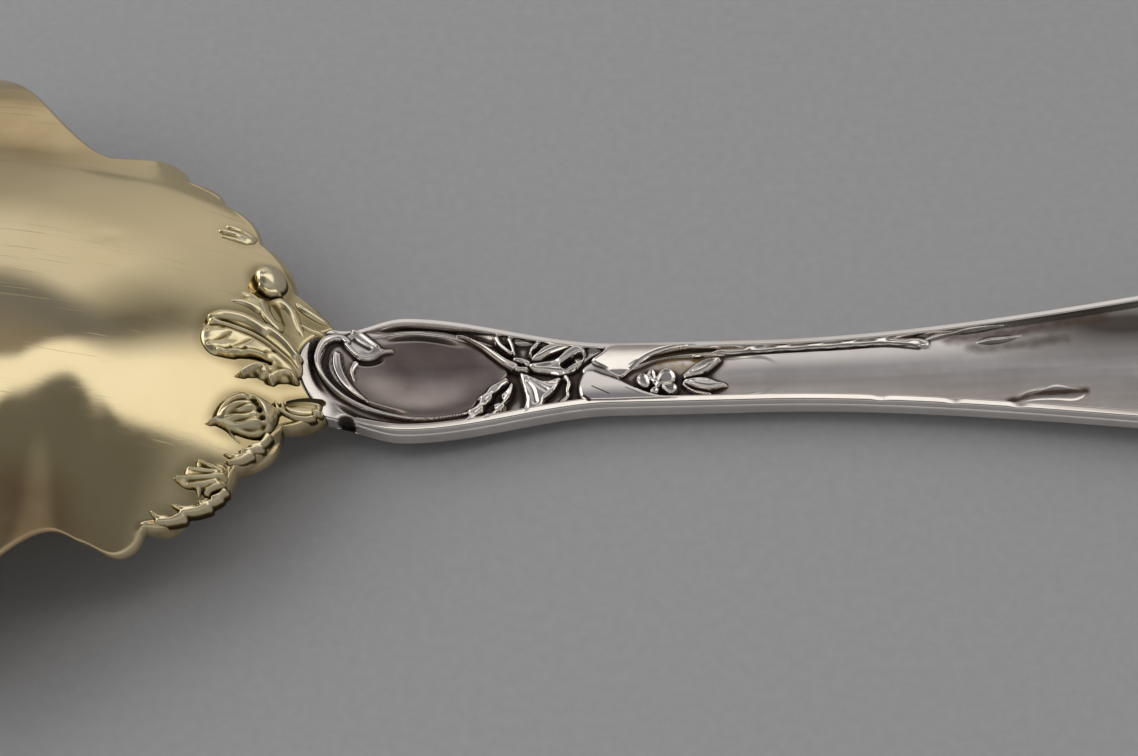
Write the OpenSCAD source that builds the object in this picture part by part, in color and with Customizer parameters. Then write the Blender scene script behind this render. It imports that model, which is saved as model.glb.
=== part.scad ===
// Casserole spoon lying face down: a gilt bowl, a silver handle and the relief soldered to their backs.
// The table is z = 0. Drawn with x = 0 at the neck joint and +x towards the tip of the handle,
// then moved so that the origin lies under the middle of the whole spoon.

/* [Bowl] */
// Length of the bowl from its front lip to the neck joint
bowl_len = 84; // [78:1:90]
// Distance from the widest place of the bowl to the neck joint
heel_len = 48; // [45:0.5:51]
// Width of the bowl across its two wings
bowl_w = 74; // [69:0.5:79]
// Width of the bowl across the notches behind the wings
notch_w = 45; // [43:0.2:47]
// Width of the bowl across the first lobes of the shoulder
lobe_w = 47.8; // [46:0.2:50]
// Height of the bowl's back above the table
bowl_crown = 23; // [20.5:0.5:25.5]
// Thickness of the bowl's wall, measured upright
bowl_t = 1.4; // [1:0.1:1.8]
// How far the wings turn up from the dome
wing_flare = 8; // [5:0.5:10]
// How far each scallop of the shoulder bulges past its chord
scallop_bulge = 1; // [0.6:0.1:1.3]

/* [Handle] */
// Length of the handle from the neck joint to its tip
handle_len = 146; // [136:1:156]
// Length of the part with the cartouche and the ribbon
cart_len = 29; // [27:0.5:31]
// Width of the neck joint
neck_w = 11; // [10.4:0.1:11.8]
// Width across the cartouche
cart_w = 14.2; // [13.6:0.1:15.2]
// Width of the slender stem
stem_w = 7.8; // [7.4:0.1:8.6]
// Width of the terminal
terminal_w = 24; // [20:0.5:27]
// Length of the rounded end of the terminal
terminal_len = 21; // [17:0.5:25]
// Thickness of the handle at the neck
neck_t = 3.6; // [3.1:0.1:4.2]
// Thickness of the handle at its tip
tip_t = 2.2; // [1.8:0.1:2.8]
// Height of the neck's underside above the table
neck_rise = 1.1; // [0.6:0.1:1.6]
// Height of the tip's underside above the table
tip_lift = 6; // [4:0.5:9]
// Depth of the dished field inside the cartouche
dish_d = 0.5; // [0.2:0.1:0.8]
// How far the silver tongue reaches over the heel of the bowl
tongue_reach = 2.8; // [2.4:0.1:3.4]

/* [Relief] */
// Height of the leaves on the bowl
leaf_h = 0.9; // [0.5:0.1:1.2]
// Height of the buds
bud_h = 2.2; // [1.4:0.1:2.8]
// Width of the bud on the near shoulder
near_bud_w = 4.6; // [3.6:0.1:5]
// Width of the bud on the far shoulder
far_bud_w = 3; // [2.4:0.1:3.4]
// Height of the ribbon work
ribbon_h = 0.8; // [0.5:0.1:1.1]
// Width of the scroll wire at its heavy end
scroll_w = 1; // [0.7:0.1:1.1]
// Height of the scrolls
scroll_h = 0.8; // [0.5:0.1:1.1]
// Width of the fine wires in the cartouche and of the vine
wire_w = 0.45; // [0.3:0.05:0.5]
// Height of the fine wires
wire_h = 0.4; // [0.3:0.05:0.6]
// Width of a flower petal
petal_w = 1.4; // [1.1:0.1:1.6]
// Height of the flower and its leaves
flower_h = 0.6; // [0.4:0.1:0.9]
// Width of the two border rails
rail_w = 0.8; // [0.6:0.05:0.9]
// Height of the two border rails
rail_h = 0.7; // [0.4:0.1:1]

/* [Fits] */
// Solder film between two joined pieces
solder_film = 0.08; // [0.05:0.01:0.12]
// Distance from the handle's edge to its border rail
rail_inset = 0.15; // [0.1:0.05:0.2]

/* [Hidden] */

gilt = "#c8b46e";
silver = "#bdbab5";

wing_y = bowl_w / 2;
notch_y = notch_w / 2;
lobe_y = lobe_w / 2;
neck_y = neck_w / 2;
front_len = bowl_len - heel_len;
dome_rise = bowl_crown - bowl_t;
terminal_x = handle_len - terminal_len;
// Sharpness of the dome's edge, and how steeply its heel runs down to the neck
dome_k = 0.7;
heel_power = 2.4;
// Radius of the hollow where the heel meets the handle
neck_blend = 0.5;
// Where the handle's underside touches the table
arch_x = 30;
lift_power = 2;
// How far the handle's back falls from its middle to its edges
back_fall = 0.4;
// Share of the handle's thickness that is left at its edges
edge_share = 0.55;
// Where the turned-up wings begin across the bowl, and begin and are full along its heel
flare_y = 19;
flare_start = 0.25 * heel_len;
flare_full = 0.625 * heel_len;
// Where they end in front of the widest place
flare_end = 0.7 * front_len;
// Widest place of the cartouche, and where the stem begins to flare
cart_x = 0.26 * cart_len;
flare_x = cart_len + 14;
// Middle of the dished field and its half length and half width
dish_x = 0.32 * cart_len;
dish_a = 0.27 * cart_len;
dish_b = 0.34 * cart_w;
// Sizes at which the relief's own points are drawn, and where those on the bowl count from
drawn_heel = 48;
drawn_from = 0.7;
drawn_lobe = 23.9;
drawn_cart_len = 29;
drawn_cart_w = 14.2;
drawn_stem_w = 7.8;
cart_side_end = 18;

function mix(a, b, t) = a + (b - a) * t;
function clamp01(t) = min(1, max(0, t));
function ease(t) = let (c = clamp01(t)) c * c * (3 - 2 * c);
function soft_max(a, b, r) = (a + b + sqrt((a - b) * (a - b) + 4 * r * r)) / 2;

// Smooth curve through points, with n steps between neighbours
function curve_at(a, b, c, d, t) =
    0.5 * (2 * b + (c - a) * t + (2 * a - 5 * b + 4 * c - d) * t * t + (3 * b - a - 3 * c + d) * t * t * t);
function curve(p, n) = let (last = len(p) - 1) [
    for (i = [0 : last - 1], j = [0 : n - 1])
        curve_at(p[max(i - 1, 0)], p[i], p[i + 1], p[min(i + 2, last)], j / n),
    p[last]];
function loop(p, n) = let (m = len(p)) [
    for (i = [0 : m - 1], j = [0 : n - 1])
        curve_at(p[(i + m - 1) % m], p[i], p[(i + 1) % m], p[(i + 2) % m], j / n)];

// Line of the back along the spoon: the heel of the bowl runs out into the handle
function heel_share(x) = max(0, (x + heel_len) / heel_len);
function heel_line(x) = bowl_crown - (bowl_crown - neck_rise - neck_t) * pow(heel_share(x), heel_power);
function arch_line(x) = x < arch_x
    ? neck_rise * pow((arch_x - x) / arch_x, 2)
    : tip_lift * pow((x - arch_x) / (handle_len - arch_x), lift_power);
function handle_line(x) = arch_line(x) + mix(neck_t, tip_t, clamp01(x / handle_len));
function back_line(x) = soft_max(heel_line(x), handle_line(x), neck_blend);

// Back of the bowl with its turned-up wings, and its wall
function flare(x, y) = wing_flare * ease((abs(y) - flare_y) / (wing_y - flare_y))
    * ease((-x - flare_start) / (flare_full - flare_start)) * (1 - ease((-x - heel_len) / flare_end));
dome_edge = sqrt(1 - dome_k);
function dome(s) = (sqrt(1 - dome_k * min(s, 1.2)) - dome_edge) / (1 - dome_edge);
function bowl_back(x, y) = let (side = pow(y / wing_y, 2))
    flare(x, y) + (x < -heel_len
        ? bowl_t + dome_rise * dome(pow((x + heel_len) / front_len, 2) + side)
        : back_line(x) - dome_rise * (1 - dome(side)));
function bowl_wall(x, y) =
    bowl_t + (neck_t - bowl_t) * pow(heel_share(x), 5) * max(0, 1 - pow(y / neck_y, 2));

// Back and underside of the handle
function half_w(x) =
    x < cart_x ? mix(neck_y, cart_w / 2, ease(x / cart_x)) :
    x < cart_len ? mix(cart_w / 2, stem_w / 2, ease((x - cart_x) / (cart_len - cart_x))) :
    x < terminal_x ? mix(stem_w / 2, terminal_w / 2, ease((x - flare_x) / (terminal_x - flare_x))) :
    terminal_w / 2 * sqrt(max(0, 1 - pow((x - terminal_x) / terminal_len, 2)));
function dish(x, y) = let (r = pow((x - dish_x) / dish_a, 2) + pow(y / dish_b, 2))
    r < 1 ? dish_d * (1 - r) * (1 - r) : 0;
function handle_back(x, y) = back_line(x) - back_fall * min(1, pow(y / half_w(x), 2)) - dish(x, y);
function handle_keel(x) = max(arch_line(x), back_line(x) - neck_t);
function handle_front(x, y) = mix(handle_keel(x), back_line(x), (1 - edge_share) * pow(y / half_w(x), 2));

// Line on which bowl and handle meet, and the ground under any point of the relief
function joint_x(y) = -tongue_reach * max(0, 1 - pow(y / neck_y, 2));
function ground(p) = p[0] < joint_x(p[1]) ? bowl_back(p[0], p[1]) : handle_back(p[0], p[1]);
function seat(p, up) = [p[0], p[1], ground(p) + solder_film + up];

// Relief points follow the sizes of the bowl and of the handle
function on_bowl(p) = [(p[0] + drawn_from) * heel_len / drawn_heel, p[1] * lobe_y / drawn_lobe];
function along(x) = x < drawn_cart_len ? x * cart_len / drawn_cart_len : x + cart_len - drawn_cart_len;
function widen(x) = mix(cart_w / drawn_cart_w, stem_w / drawn_stem_w,
    clamp01((x - cart_side_end) / (drawn_cart_len - cart_side_end)));
function on_handle(p) = [along(p[0]), p[1] * widen(p[0])];
function bowl_points(list) = [for (p = list) on_bowl(p)];
function handle_points(list) = [for (p = list) on_handle(p)];

// Solid from two end points and the rings of n points between them
module ring_solid(first, rings, last) {
    n = len(rings[0]);
    m = len(rings);
    flat = [for (r = rings) for (p = r) p];
    polyhedron(
        points = concat([first], flat, [last]),
        faces = concat(
            [for (i = [0 : n - 1]) [1 + i, 1 + (i + 1) % n, 0]],
            [for (k = [0 : m - 2], i = [0 : n - 1])
                let (a = 1 + k * n + i, b = 1 + k * n + (i + 1) % n) [b + n, b, a]],
            [for (k = [0 : m - 2], i = [0 : n - 1])
                let (a = 1 + k * n + i, b = 1 + k * n + (i + 1) % n) [a + n, b + n, a]],
            [for (i = [0 : n - 1]) let (a = 1 + (m - 1) * n)
                [m * n + 1, a + (i + 1) % n, a + i]]));
}

// Domed pad seated on the ground inside an outline: shares of its height at the edge and half-way in
pad_edge = 0.45;
pad_ring = 0.9;
module pad(outline, middle, h) {
    n = len(outline);
    turn = [for (i = [0 : n - 1])
        let (a = outline[i], b = outline[(i + 1) % n]) a[0] * b[1] - b[0] * a[1]];
    ring = turn * [for (t = turn) 1] > 0 ? outline : [for (i = [n - 1 : -1 : 0]) outline[i]];
    inner = [for (p = ring) mix(p, middle, 0.5)];
    ring_solid(
        seat(middle, 0),
        [[for (p = inner) seat(p, 0)], [for (p = ring) seat(p, 0)],
         [for (p = ring) seat(p, pad_edge * h)], [for (p = inner) seat(p, pad_ring * h)]],
        seat(middle, h));
}

// Half-round wire seated on the ground along a path, tapering from w0 to w1:
// shares of its width and height at the shoulder, and of its height at the ends
wire_wide = 0.8;
wire_high = 0.6;
wire_end = 0.4;
function square_off(path, i) = let (
    d = path[min(i + 1, len(path) - 1)] - path[max(i - 1, 0)]) [-d[1], d[0]] / norm(d);
module wire(path, w0, w1, h) {
    last = len(path) - 1;
    rings = [for (i = [0 : last]) let (side = square_off(path, i) * mix(w0, w1, i / last) / 2) [
        seat(path[i] + side, 0), seat(path[i] + wire_wide * side, wire_high * h), seat(path[i], h),
        seat(path[i] - wire_wide * side, wire_high * h), seat(path[i] - side, 0)]];
    ring_solid(seat(path[0], wire_end * h), rings, seat(path[last], wire_end * h));
}

// Drop-shaped outline from a point to a round end
function drop_side(t) = pow(sin(180 * pow(t, 0.75)), 0.85);
function drop(tip, end, w) = let (
    n = 8,
    axis = end - tip,
    across = [-axis[1], axis[0]] / norm(axis) * w / 2) concat(
        [for (k = [0 : n]) tip + axis * k / n + across * drop_side(k / n)],
        [for (k = [n - 1 : -1 : 1]) tip + axis * k / n - across * drop_side(k / n)]);
function oval(c, a, b) = [for (k = [0 : 17]) c + [a * cos(20 * k), b * sin(20 * k)]];

// Half of the bowl's outline, from the front lip round the wing and the scallops to the neck
wing_points = [
    [-heel_len, wing_y], [-0.84 * heel_len, 0.97 * wing_y], [-0.72 * heel_len, 0.88 * wing_y],
    [-0.585 * heel_len, mix(notch_y, wing_y, 0.2)], [-0.505 * heel_len, notch_y],
    [-0.445 * heel_len, mix(notch_y, lobe_y, 0.35)], [-0.385 * heel_len, lobe_y],
    [-0.345 * heel_len, 0.96 * lobe_y]];
// Cusps between the scallops: share of the heel's length, and share of the way from neck to lobe
cusp_shares = [[0.324, 0.85], [0.245, 0.715], [0.157, 0.45], [0.078, 0.15], [0, 0]];
cusps = [for (c = cusp_shares) [-c[0] * heel_len, mix(neck_y, lobe_y, c[1])]];
function scallop(a, b, t) = let (d = b - a)
    mix(a, b, t) + [-d[1], d[0]] / norm(d) * scallop_bulge * 4 * t * (1 - t);
lip_steps = 14;
scallop_steps = 5;
joint_steps = 4;
half_outline = concat(
    [for (k = [0 : lip_steps - 1]) let (a = 90 * k / lip_steps)
        [-heel_len - front_len * cos(a), wing_y * sin(a)]],
    [for (p = curve(concat(wing_points, [cusps[0]]), 3)) p],
    [for (i = [0 : len(cusps) - 2], k = [1 : scallop_steps])
        scallop(cusps[i], cusps[i + 1], k / scallop_steps)],
    [for (k = [1 : joint_steps]) let (y = neck_y * (1 - k / joint_steps)) [joint_x(y), y]]);
half_count = len(half_outline);
// Round the bowl counter-clockwise, seen from above
bowl_outline = concat(
    [for (i = [half_count - 1 : -1 : 0]) half_outline[i]],
    [for (i = [1 : half_count - 2]) [half_outline[i][0], -half_outline[i][1]]]);

module bowl() {
    middle = [-0.84 * heel_len, 0];
    shares = [0.18, 0.36, 0.53, 0.68, 0.8, 0.89, 0.95, 1];
    back = [for (s = shares) [for (p = bowl_outline)
        let (q = mix(middle, p, s)) [q[0], q[1], bowl_back(q[0], q[1])]]];
    front = [for (r = back) [for (p = r) [p[0], p[1], p[2] - bowl_wall(p[0], p[1])]]];
    top = bowl_back(middle[0], middle[1]);
    color(gilt) ring_solid(
        [middle[0], middle[1], top - bowl_wall(middle[0], middle[1])],
        concat(front, [for (i = [len(back) - 1 : -1 : 0]) back[i]]),
        [middle[0], middle[1], top]);
}

// Stations along the handle, closer together at the cartouche
handle_stations = concat(
    [for (k = [0 : 27]) cart_len * k / 28],
    [for (k = [0 : 35]) mix(cart_len, terminal_x, k / 36)],
    [for (k = [0 : 11]) terminal_x + terminal_len * sin(90 * k / 12)]);
across_steps = 14;
// Stretch of the handle over which its end follows the curved joint
joint_fade = 5;
function handle_x(x, y) = x + (joint_x(y) + solder_film) * (1 - ease(x / joint_fade));

module handle() {
    columns = [for (j = [0 : across_steps]) mix(1, -1, j / across_steps)];
    rings = [for (x = handle_stations) concat(
        [for (s = columns) let (y = s * half_w(x), hx = handle_x(x, y)) [hx, y, handle_back(hx, y)]],
        [for (j = [across_steps : -1 : 0]) let (y = columns[j] * half_w(x), hx = handle_x(x, y))
            [hx, y, handle_front(hx, y)]])];
    start = handle_x(0, 0);
    color(silver) ring_solid(
        [start, 0, (handle_back(start, 0) + handle_keel(start)) / 2],
        rings,
        [handle_len, 0, arch_line(handle_len) + tip_t / 2]);
}

// Path of a border rail along one edge of the handle and round to its tip
rail_start = 3;
rail_gap_angle = 3;
function rail_path(side) = let (inset = rail_inset + rail_w / 2, steps = 48) concat(
    [for (k = [0 : steps])
        let (x = mix(rail_start, terminal_x, k / steps)) [x, side * (half_w(x) - inset)]],
    [for (k = [1 : 8]) let (a = (90 - rail_gap_angle) * k / 8)
        [terminal_x + (terminal_len - inset) * sin(a), side * (terminal_w / 2 - inset) * cos(a)]]);

module near_rail() { color(silver) wire(rail_path(-1), rail_w, rail_w, rail_h); }
module far_rail() { color(silver) wire(rail_path(1), rail_w, rail_w, rail_h); }

// Relief on the bowl
module heel_leaf() {
    color(gilt) pad(bowl_points([
        [-12.2, 0.2], [-11.9, 1.7], [-11, 2.8], [-9.3, 3.4], [-7.3, 3.3], [-5.6, 2.6], [-4.3, 1.3],
        [-3.5, -0.2], [-3.5, -1.8], [-4.3, -2.9], [-5.5, -3.3], [-6.3, -2.9], [-8.2, -4], [-8.4, -2.3],
        [-9.6, -2.6], [-9.5, -1.5], [-10.7, -2.3], [-11.6, -2.2], [-12.1, -1.2]]),
        on_bowl([-7.8, 0.4]), leaf_h);
}
module near_bud() {
    tip = on_bowl([-10.4, -9.9]);
    end = on_bowl([-4.9, -6.3]);
    color(gilt) pad(drop(tip, end, near_bud_w), mix(tip, end, 0.6), bud_h);
}
module near_bud_stem() {
    color(gilt) wire(curve(bowl_points([[-4.3, -6.3], [-3.2, -6], [-2.1, -5.7], [-1, -5.3]]), 3),
        0.6, 1, leaf_h);
}
module near_sepal() {
    color(gilt) pad(loop(bowl_points([
        [-4.6, -4.6], [-3.2, -3.9], [-2.3, -3.4], [-2.4, -4.2], [-3.3, -5]]), 3),
        on_bowl([-3.1, -4.3]), leaf_h);
}
module far_bud() {
    middle = on_bowl([-6.8, 8.9]);
    color(gilt) pad(oval(middle, far_bud_w / 2, far_bud_w * 0.66), middle, bud_h);
}
module far_bud_stem() {
    color(gilt) wire(curve(bowl_points([[-5.2, 6.6], [-4.7, 5.6], [-4.3, 4.5], [-3.6, 3.2]]), 3),
        0.6, 0.9, leaf_h);
}
module far_leaflet() {
    color(gilt) pad(loop(bowl_points([
        [-3.5, 7], [-2.4, 6.3], [-1.1, 5.4], [-2, 5], [-3.2, 5.5], [-3.7, 6.2]]), 2),
        on_bowl([-2.7, 5.8]), leaf_h);
}
module side_leaflet() {
    color(gilt) pad(loop(bowl_points([
        [-9.8, 4.7], [-8.6, 5.9], [-7.2, 6], [-6.3, 5.3], [-6.5, 4.4], [-8, 4.3]]), 2),
        on_bowl([-7.8, 5]), leaf_h);
}
module shoulder_leaf() {
    color(gilt) pad(bowl_points([
        [-13.8, -16.3], [-12.5, -15.7], [-12.6, -14.9], [-11.8, -14.7], [-11.6, -13.9], [-10.5, -13.6],
        [-9.4, -13.8], [-9, -14.6], [-9.2, -15.4], [-9.9, -16.1], [-10.9, -16.7], [-11.6, -16.5],
        [-12.3, -16.9], [-12.6, -16.3]]), on_bowl([-10.9, -15.3]), leaf_h);
}
module near_rim_leaf() {
    color(gilt) pad(loop(bowl_points([
        [-8.9, -12.7], [-7.6, -11.8], [-6.3, -11.1], [-5.4, -10.2], [-5.3, -9.8], [-6.2, -10.4],
        [-7.3, -11.3], [-8.3, -12]]), 2), on_bowl([-7.1, -11.4]), 0.7 * leaf_h);
}
module near_rim_sprig() {
    color(gilt) wire(curve(bowl_points([
        [-17.6, -21.3], [-15.8, -20], [-13.8, -19], [-11.6, -17.6], [-10, -16.8]]), 4),
        0.7, 0.5, 0.7 * leaf_h);
}
module far_rim_sprig() {
    color(gilt) pad(loop(bowl_points([
        [-11.9, 14.4], [-11.3, 16], [-9.9, 16.4], [-8.8, 15.3], [-8.5, 14.2], [-9.7, 13], [-11, 13.2]]), 2),
        on_bowl([-10.2, 14.6]), leaf_h);
}

// Relief on the handle
module c_scroll() {
    color(silver) wire(curve(handle_points([
        [1.3, 3.7], [0.2, 4], [-0.9, 3.1], [-1.4, 1.6], [-1.3, 0], [-0.5, -1.8], [0.9, -3.3], [2.7, -4.3],
        [5, -4.9], [8, -5.2], [11, -5], [13.2, -4.6]]), 3), scroll_w, 0.6 * scroll_w, scroll_h);
}
module s_scroll() {
    color(silver) wire(curve(handle_points([
        [2.5, 4.5], [2.6, 3.4], [3, 2.4], [3.9, 1.9], [5.1, 2.2], [6.2, 2.8]]), 3),
        0.7 * scroll_w, 0.5 * scroll_w, scroll_h);
}
module inner_wire() {
    color(silver) wire(curve(handle_points([
        [0.3, 2.2], [0.4, 0.8], [1, -0.9], [2.2, -2.4], [3.9, -3.5], [6, -4.1], [9, -4.3], [12, -3.8]]), 3),
        wire_w, wire_w, wire_h);
}
module upper_wire() {
    color(silver) wire(curve(handle_points([
        [4.6, 4.3], [6, 4.8], [8, 5.1], [10, 5], [12, 4.5], [13.6, 3.8]]), 3), wire_w, wire_w, wire_h);
}
module ribbon_strap() {
    color(silver) wire(curve(handle_points([[14.3, 3.4], [15.6, 2.7], [17, 1.8], [18, 1.1]]), 4),
        0.6, 0.9, ribbon_h);
}
module ribbon_knot() {
    color(silver) pad(oval(on_handle([19.2, 0.7]), 0.7, 0.7), on_handle([19.2, 0.7]), 1.3 * ribbon_h);
}
module first_tail() {
    color(silver) wire(curve(handle_points([
        [17.9, -0.6], [16.9, -1.7], [15.8, -2.8], [15, -4], [14.3, -4.8]]), 3), 0.5, 0.9, ribbon_h);
}
module second_tail() {
    color(silver) wire(curve(handle_points([
        [18.9, -0.7], [18.5, -2], [17.7, -3.2], [16.7, -4.2]]), 4), 0.5, 0.9, ribbon_h);
}
module fan_fold() {
    color(silver) pad(handle_points([
        [19.7, -0.4], [21.2, -0.4], [22.8, -0.6], [22.7, -1.9], [21.9, -3], [20.9, -3.5],
        [20, -3.2], [19.8, -1.9]]), on_handle([21.2, -1.8]), ribbon_h);
}
module upper_loop() {
    color(silver) pad(loop(handle_points([
        [20.4, 1.9], [21.4, 2.8], [22.8, 3.1], [24, 2.9], [23, 2.2], [21.6, 1.7]]), 2),
        on_handle([22.2, 2.4]), ribbon_h);
}
module lower_loop() {
    color(silver) pad(loop(handle_points([
        [20.6, 0.9], [22.4, 1.2], [23.9, 1.9], [25.2, 2.6], [25.9, 2.1], [25.3, 1.1], [24, 0.4],
        [22.3, 0.3]]), 2),
        on_handle([23.8, 1.2]), ribbon_h);
}
module far_band() {
    color(silver) pad(handle_points([
        [26.5, 1.6], [28, 2.4], [30, 2.7], [32.4, 2.7], [31.3, 1.6], [30.2, 0.6], [29.3, 0.1],
        [28, 0.5], [26.7, 0.9]]), on_handle([29, 1.5]), 0.7 * ribbon_h);
}
module near_band() {
    color(silver) pad(handle_points([
        [25.4, 0], [26.6, 0.2], [28.3, -0.2], [29.8, -1], [31.5, -2], [33, -2.6], [31, -2.75],
        [28, -2.8], [26.2, -2.8], [25.5, -1.8]]), on_handle([28, -1.5]), 0.7 * ribbon_h);
}
module flower() {
    centre = on_handle([33.6, -0.9]);
    petals = 5;
    color(silver) for (k = [0 : petals - 1])
        let (c = centre + petal_w / 2 * [cos(360 * k / petals + 40), sin(360 * k / petals + 40)])
        pad(oval(c, petal_w / 2, petal_w / 2), c, flower_h);
}
module far_leaf() {
    color(silver) pad(loop(handle_points([
        [36, 0], [37, 0.8], [38.5, 1.5], [40, 1.8], [39.5, 1], [38.5, 0.4], [37.2, 0.1]]), 2),
        on_handle([38, 0.8]), flower_h);
}
module near_leaf() {
    color(silver) pad(loop(handle_points([
        [36, -0.9], [37.2, -0.6], [38.6, -0.7], [40, -1.1], [40.9, -1.5], [39.8, -2.1], [38.5, -2.4],
        [37.2, -1.9]]), 2), on_handle([38.4, -1.5]), flower_h);
}
module vine() {
    gap = rail_inset + rail_w + wire_w;
    steps = 20;
    color(silver) wire([for (k = [0 : steps])
        let (x = mix(along(40), along(60), k / steps)) [x, half_w(x) - gap]],
        wire_w, wire_w, wire_h);
}
module far_border_leaf() {
    color(silver) pad(loop(handle_points([
        [61.8, 3.3], [63.2, 3.8], [65.5, 4.1], [68, 4.4], [69.5, 4.3], [67.6, 3.4], [65, 3],
        [63, 2.9]]), 2),
        on_handle([65.6, 3.6]), leaf_h);
}
module near_border_leaf() {
    color(silver) pad(loop(handle_points([
        [62.6, -3.4], [65, -2.9], [67.5, -2.6], [70.2, -2.6], [69.2, -3.6], [67.5, -4.2], [65, -4],
        [63.4, -3.7]]), 2), on_handle([66.6, -3.4]), leaf_h);
}

// Origin under the middle of the whole spoon
module placed() { translate([(bowl_len - handle_len) / 2, 0, 0]) children(); }

placed() bowl();
placed() heel_leaf();
placed() near_bud();
placed() near_bud_stem();
placed() near_sepal();
placed() far_bud();
placed() far_bud_stem();
placed() far_leaflet();
placed() side_leaflet();
placed() shoulder_leaf();
placed() near_rim_leaf();
placed() near_rim_sprig();
placed() far_rim_sprig();
placed() handle();
placed() near_rail();
placed() far_rail();
placed() c_scroll();
placed() s_scroll();
placed() inner_wire();
placed() upper_wire();
placed() ribbon_strap();
placed() ribbon_knot();
placed() first_tail();
placed() second_tail();
placed() fan_fold();
placed() upper_loop();
placed() lower_loop();
placed() far_band();
placed() near_band();
placed() flower();
placed() far_leaf();
placed() near_leaf();
placed() vine();
placed() far_border_leaf();
placed() near_border_leaf();
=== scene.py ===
import math

import bpy
import numpy as np
from mathutils import Matrix, Vector

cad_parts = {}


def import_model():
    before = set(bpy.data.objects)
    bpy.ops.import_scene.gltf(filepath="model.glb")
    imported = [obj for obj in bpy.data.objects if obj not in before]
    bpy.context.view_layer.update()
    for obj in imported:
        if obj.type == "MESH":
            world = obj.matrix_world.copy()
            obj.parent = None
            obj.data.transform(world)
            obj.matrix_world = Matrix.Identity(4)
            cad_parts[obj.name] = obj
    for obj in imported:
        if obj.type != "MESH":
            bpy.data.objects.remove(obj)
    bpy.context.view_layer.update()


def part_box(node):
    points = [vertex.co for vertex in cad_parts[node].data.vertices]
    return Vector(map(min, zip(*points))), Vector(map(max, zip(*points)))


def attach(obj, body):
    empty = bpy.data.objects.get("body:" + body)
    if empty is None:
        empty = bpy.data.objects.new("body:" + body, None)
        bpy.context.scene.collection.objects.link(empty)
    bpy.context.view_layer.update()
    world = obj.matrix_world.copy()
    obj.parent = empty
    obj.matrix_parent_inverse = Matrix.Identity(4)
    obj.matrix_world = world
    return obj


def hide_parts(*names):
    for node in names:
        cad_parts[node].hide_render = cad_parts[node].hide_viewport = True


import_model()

MM = 0.001

# Sizes that come from the frame
SEAM = 0.08
bowl_lo, bowl_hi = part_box("bowl")
handle_lo, handle_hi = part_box("handle")
NECK_X = bowl_hi.x / MM
BOWL_LEN = (bowl_hi.x - bowl_lo.x) / MM
WING_Y = bowl_hi.y / MM
BOWL_CROWN = bowl_hi.z / MM
HANDLE_LEN = (handle_hi.x - bowl_hi.x) / MM
TERMINAL_W = 2 * handle_hi.y / MM
TONGUE = (bowl_hi.x - handle_lo.x) / MM + SEAM

# Sizes of the base surfaces, as in the part
HEEL_LEN = 48.0
NOTCH_Y = 22.5
LOBE_Y = 23.9
BOWL_T = 1.4
WING_FLARE = 8.0
NEAR_FLARE = 0.35
NEAR_FLARE_X, NEAR_FLARE_RUN = 24, 14
SCALLOP_BULGE = 1.0
CART_LEN = 29.0
NECK_Y = 5.5
CART_W = 14.2
STEM_W = 7.8
TERMINAL_LEN = 21.0
NECK_T = 3.6
TIP_T = 2.2
NECK_RISE = 1.1
TIP_LIFT = 6.0
DISH_D = 0.5
RAIL_W = 0.8
RAIL_H = 0.7
RAIL_INSET = 0.15
DOME_K = 0.7
HEEL_POWER = 2.4
WALL_POWER = 5
NECK_BLEND = 0.5
ARCH_X = 30.0
BACK_FALL = 0.4
EDGE_SHARE = 0.55
FLARE_Y = 19.0
FRONT_LEN = BOWL_LEN - HEEL_LEN
FLARE_START, FLARE_RUN, FLARE_FADE = 0.25 * HEEL_LEN, 0.375 * HEEL_LEN, 0.7 * FRONT_LEN
DOME_RISE = BOWL_CROWN - BOWL_T
CART_X = 0.26 * CART_LEN
FLARE_X = CART_LEN + 14
TERMINAL_X = HANDLE_LEN - TERMINAL_LEN
DISH_X, DISH_A, DISH_B = 0.32 * CART_LEN, 0.27 * CART_LEN, 0.34 * CART_W


# Small mathematics
def mix(a, b, t):
    return a + (b - a) * t


def ease(t):
    c = np.clip(t, 0, 1)
    return c * c * (3 - 2 * c)


def bump(x, y, cx, cy, rx, ry, turn=0.0):
    c, s = math.cos(math.radians(turn)), math.sin(math.radians(turn))
    u = ((x - cx) * c + (y - cy) * s) / rx
    v = ((y - cy) * c - (x - cx) * s) / ry
    return np.exp(-u * u - v * v)


def curve(points, steps=6, closed=False):
    """Smooth curve through the points."""
    p = np.asarray(points, float)
    before, after = (p[-1:], p[:2]) if closed else (p[:1], p[-1:])
    q = np.concatenate([before, p, after])
    t = (np.arange(steps) / steps)[:, None]
    spans = [
        0.5 * (2 * b + (c - a) * t + (2 * a - 5 * b + 4 * c - d) * t ** 2 + (3 * b - a - 3 * c + d) * t ** 3)
        for a, b, c, d in zip(q, q[1:], q[2:], q[3:])]
    return np.concatenate(spans if closed else spans + [p[-1:]])


def blur(a, r):
    """Gaussian blur with a radius of r cells."""
    n = max(1, int(round(3 * r)))
    k = np.exp(-0.5 * (np.arange(-n, n + 1) / r) ** 2)
    k /= k.sum()
    for axis in (0, 1):
        p = np.pad(a, [(n, n) if i == axis else (0, 0) for i in (0, 1)], mode="edge")
        size = a.shape[axis]
        a = sum(w * p.take(range(i, i + size), axis) for i, w in enumerate(k))
    return a


# Base surfaces of the part
def heel_share(x):
    return np.maximum(0, (x + HEEL_LEN) / HEEL_LEN)


def heel_line(x):
    return BOWL_CROWN - (BOWL_CROWN - NECK_RISE - NECK_T) * heel_share(x) ** HEEL_POWER


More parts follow.
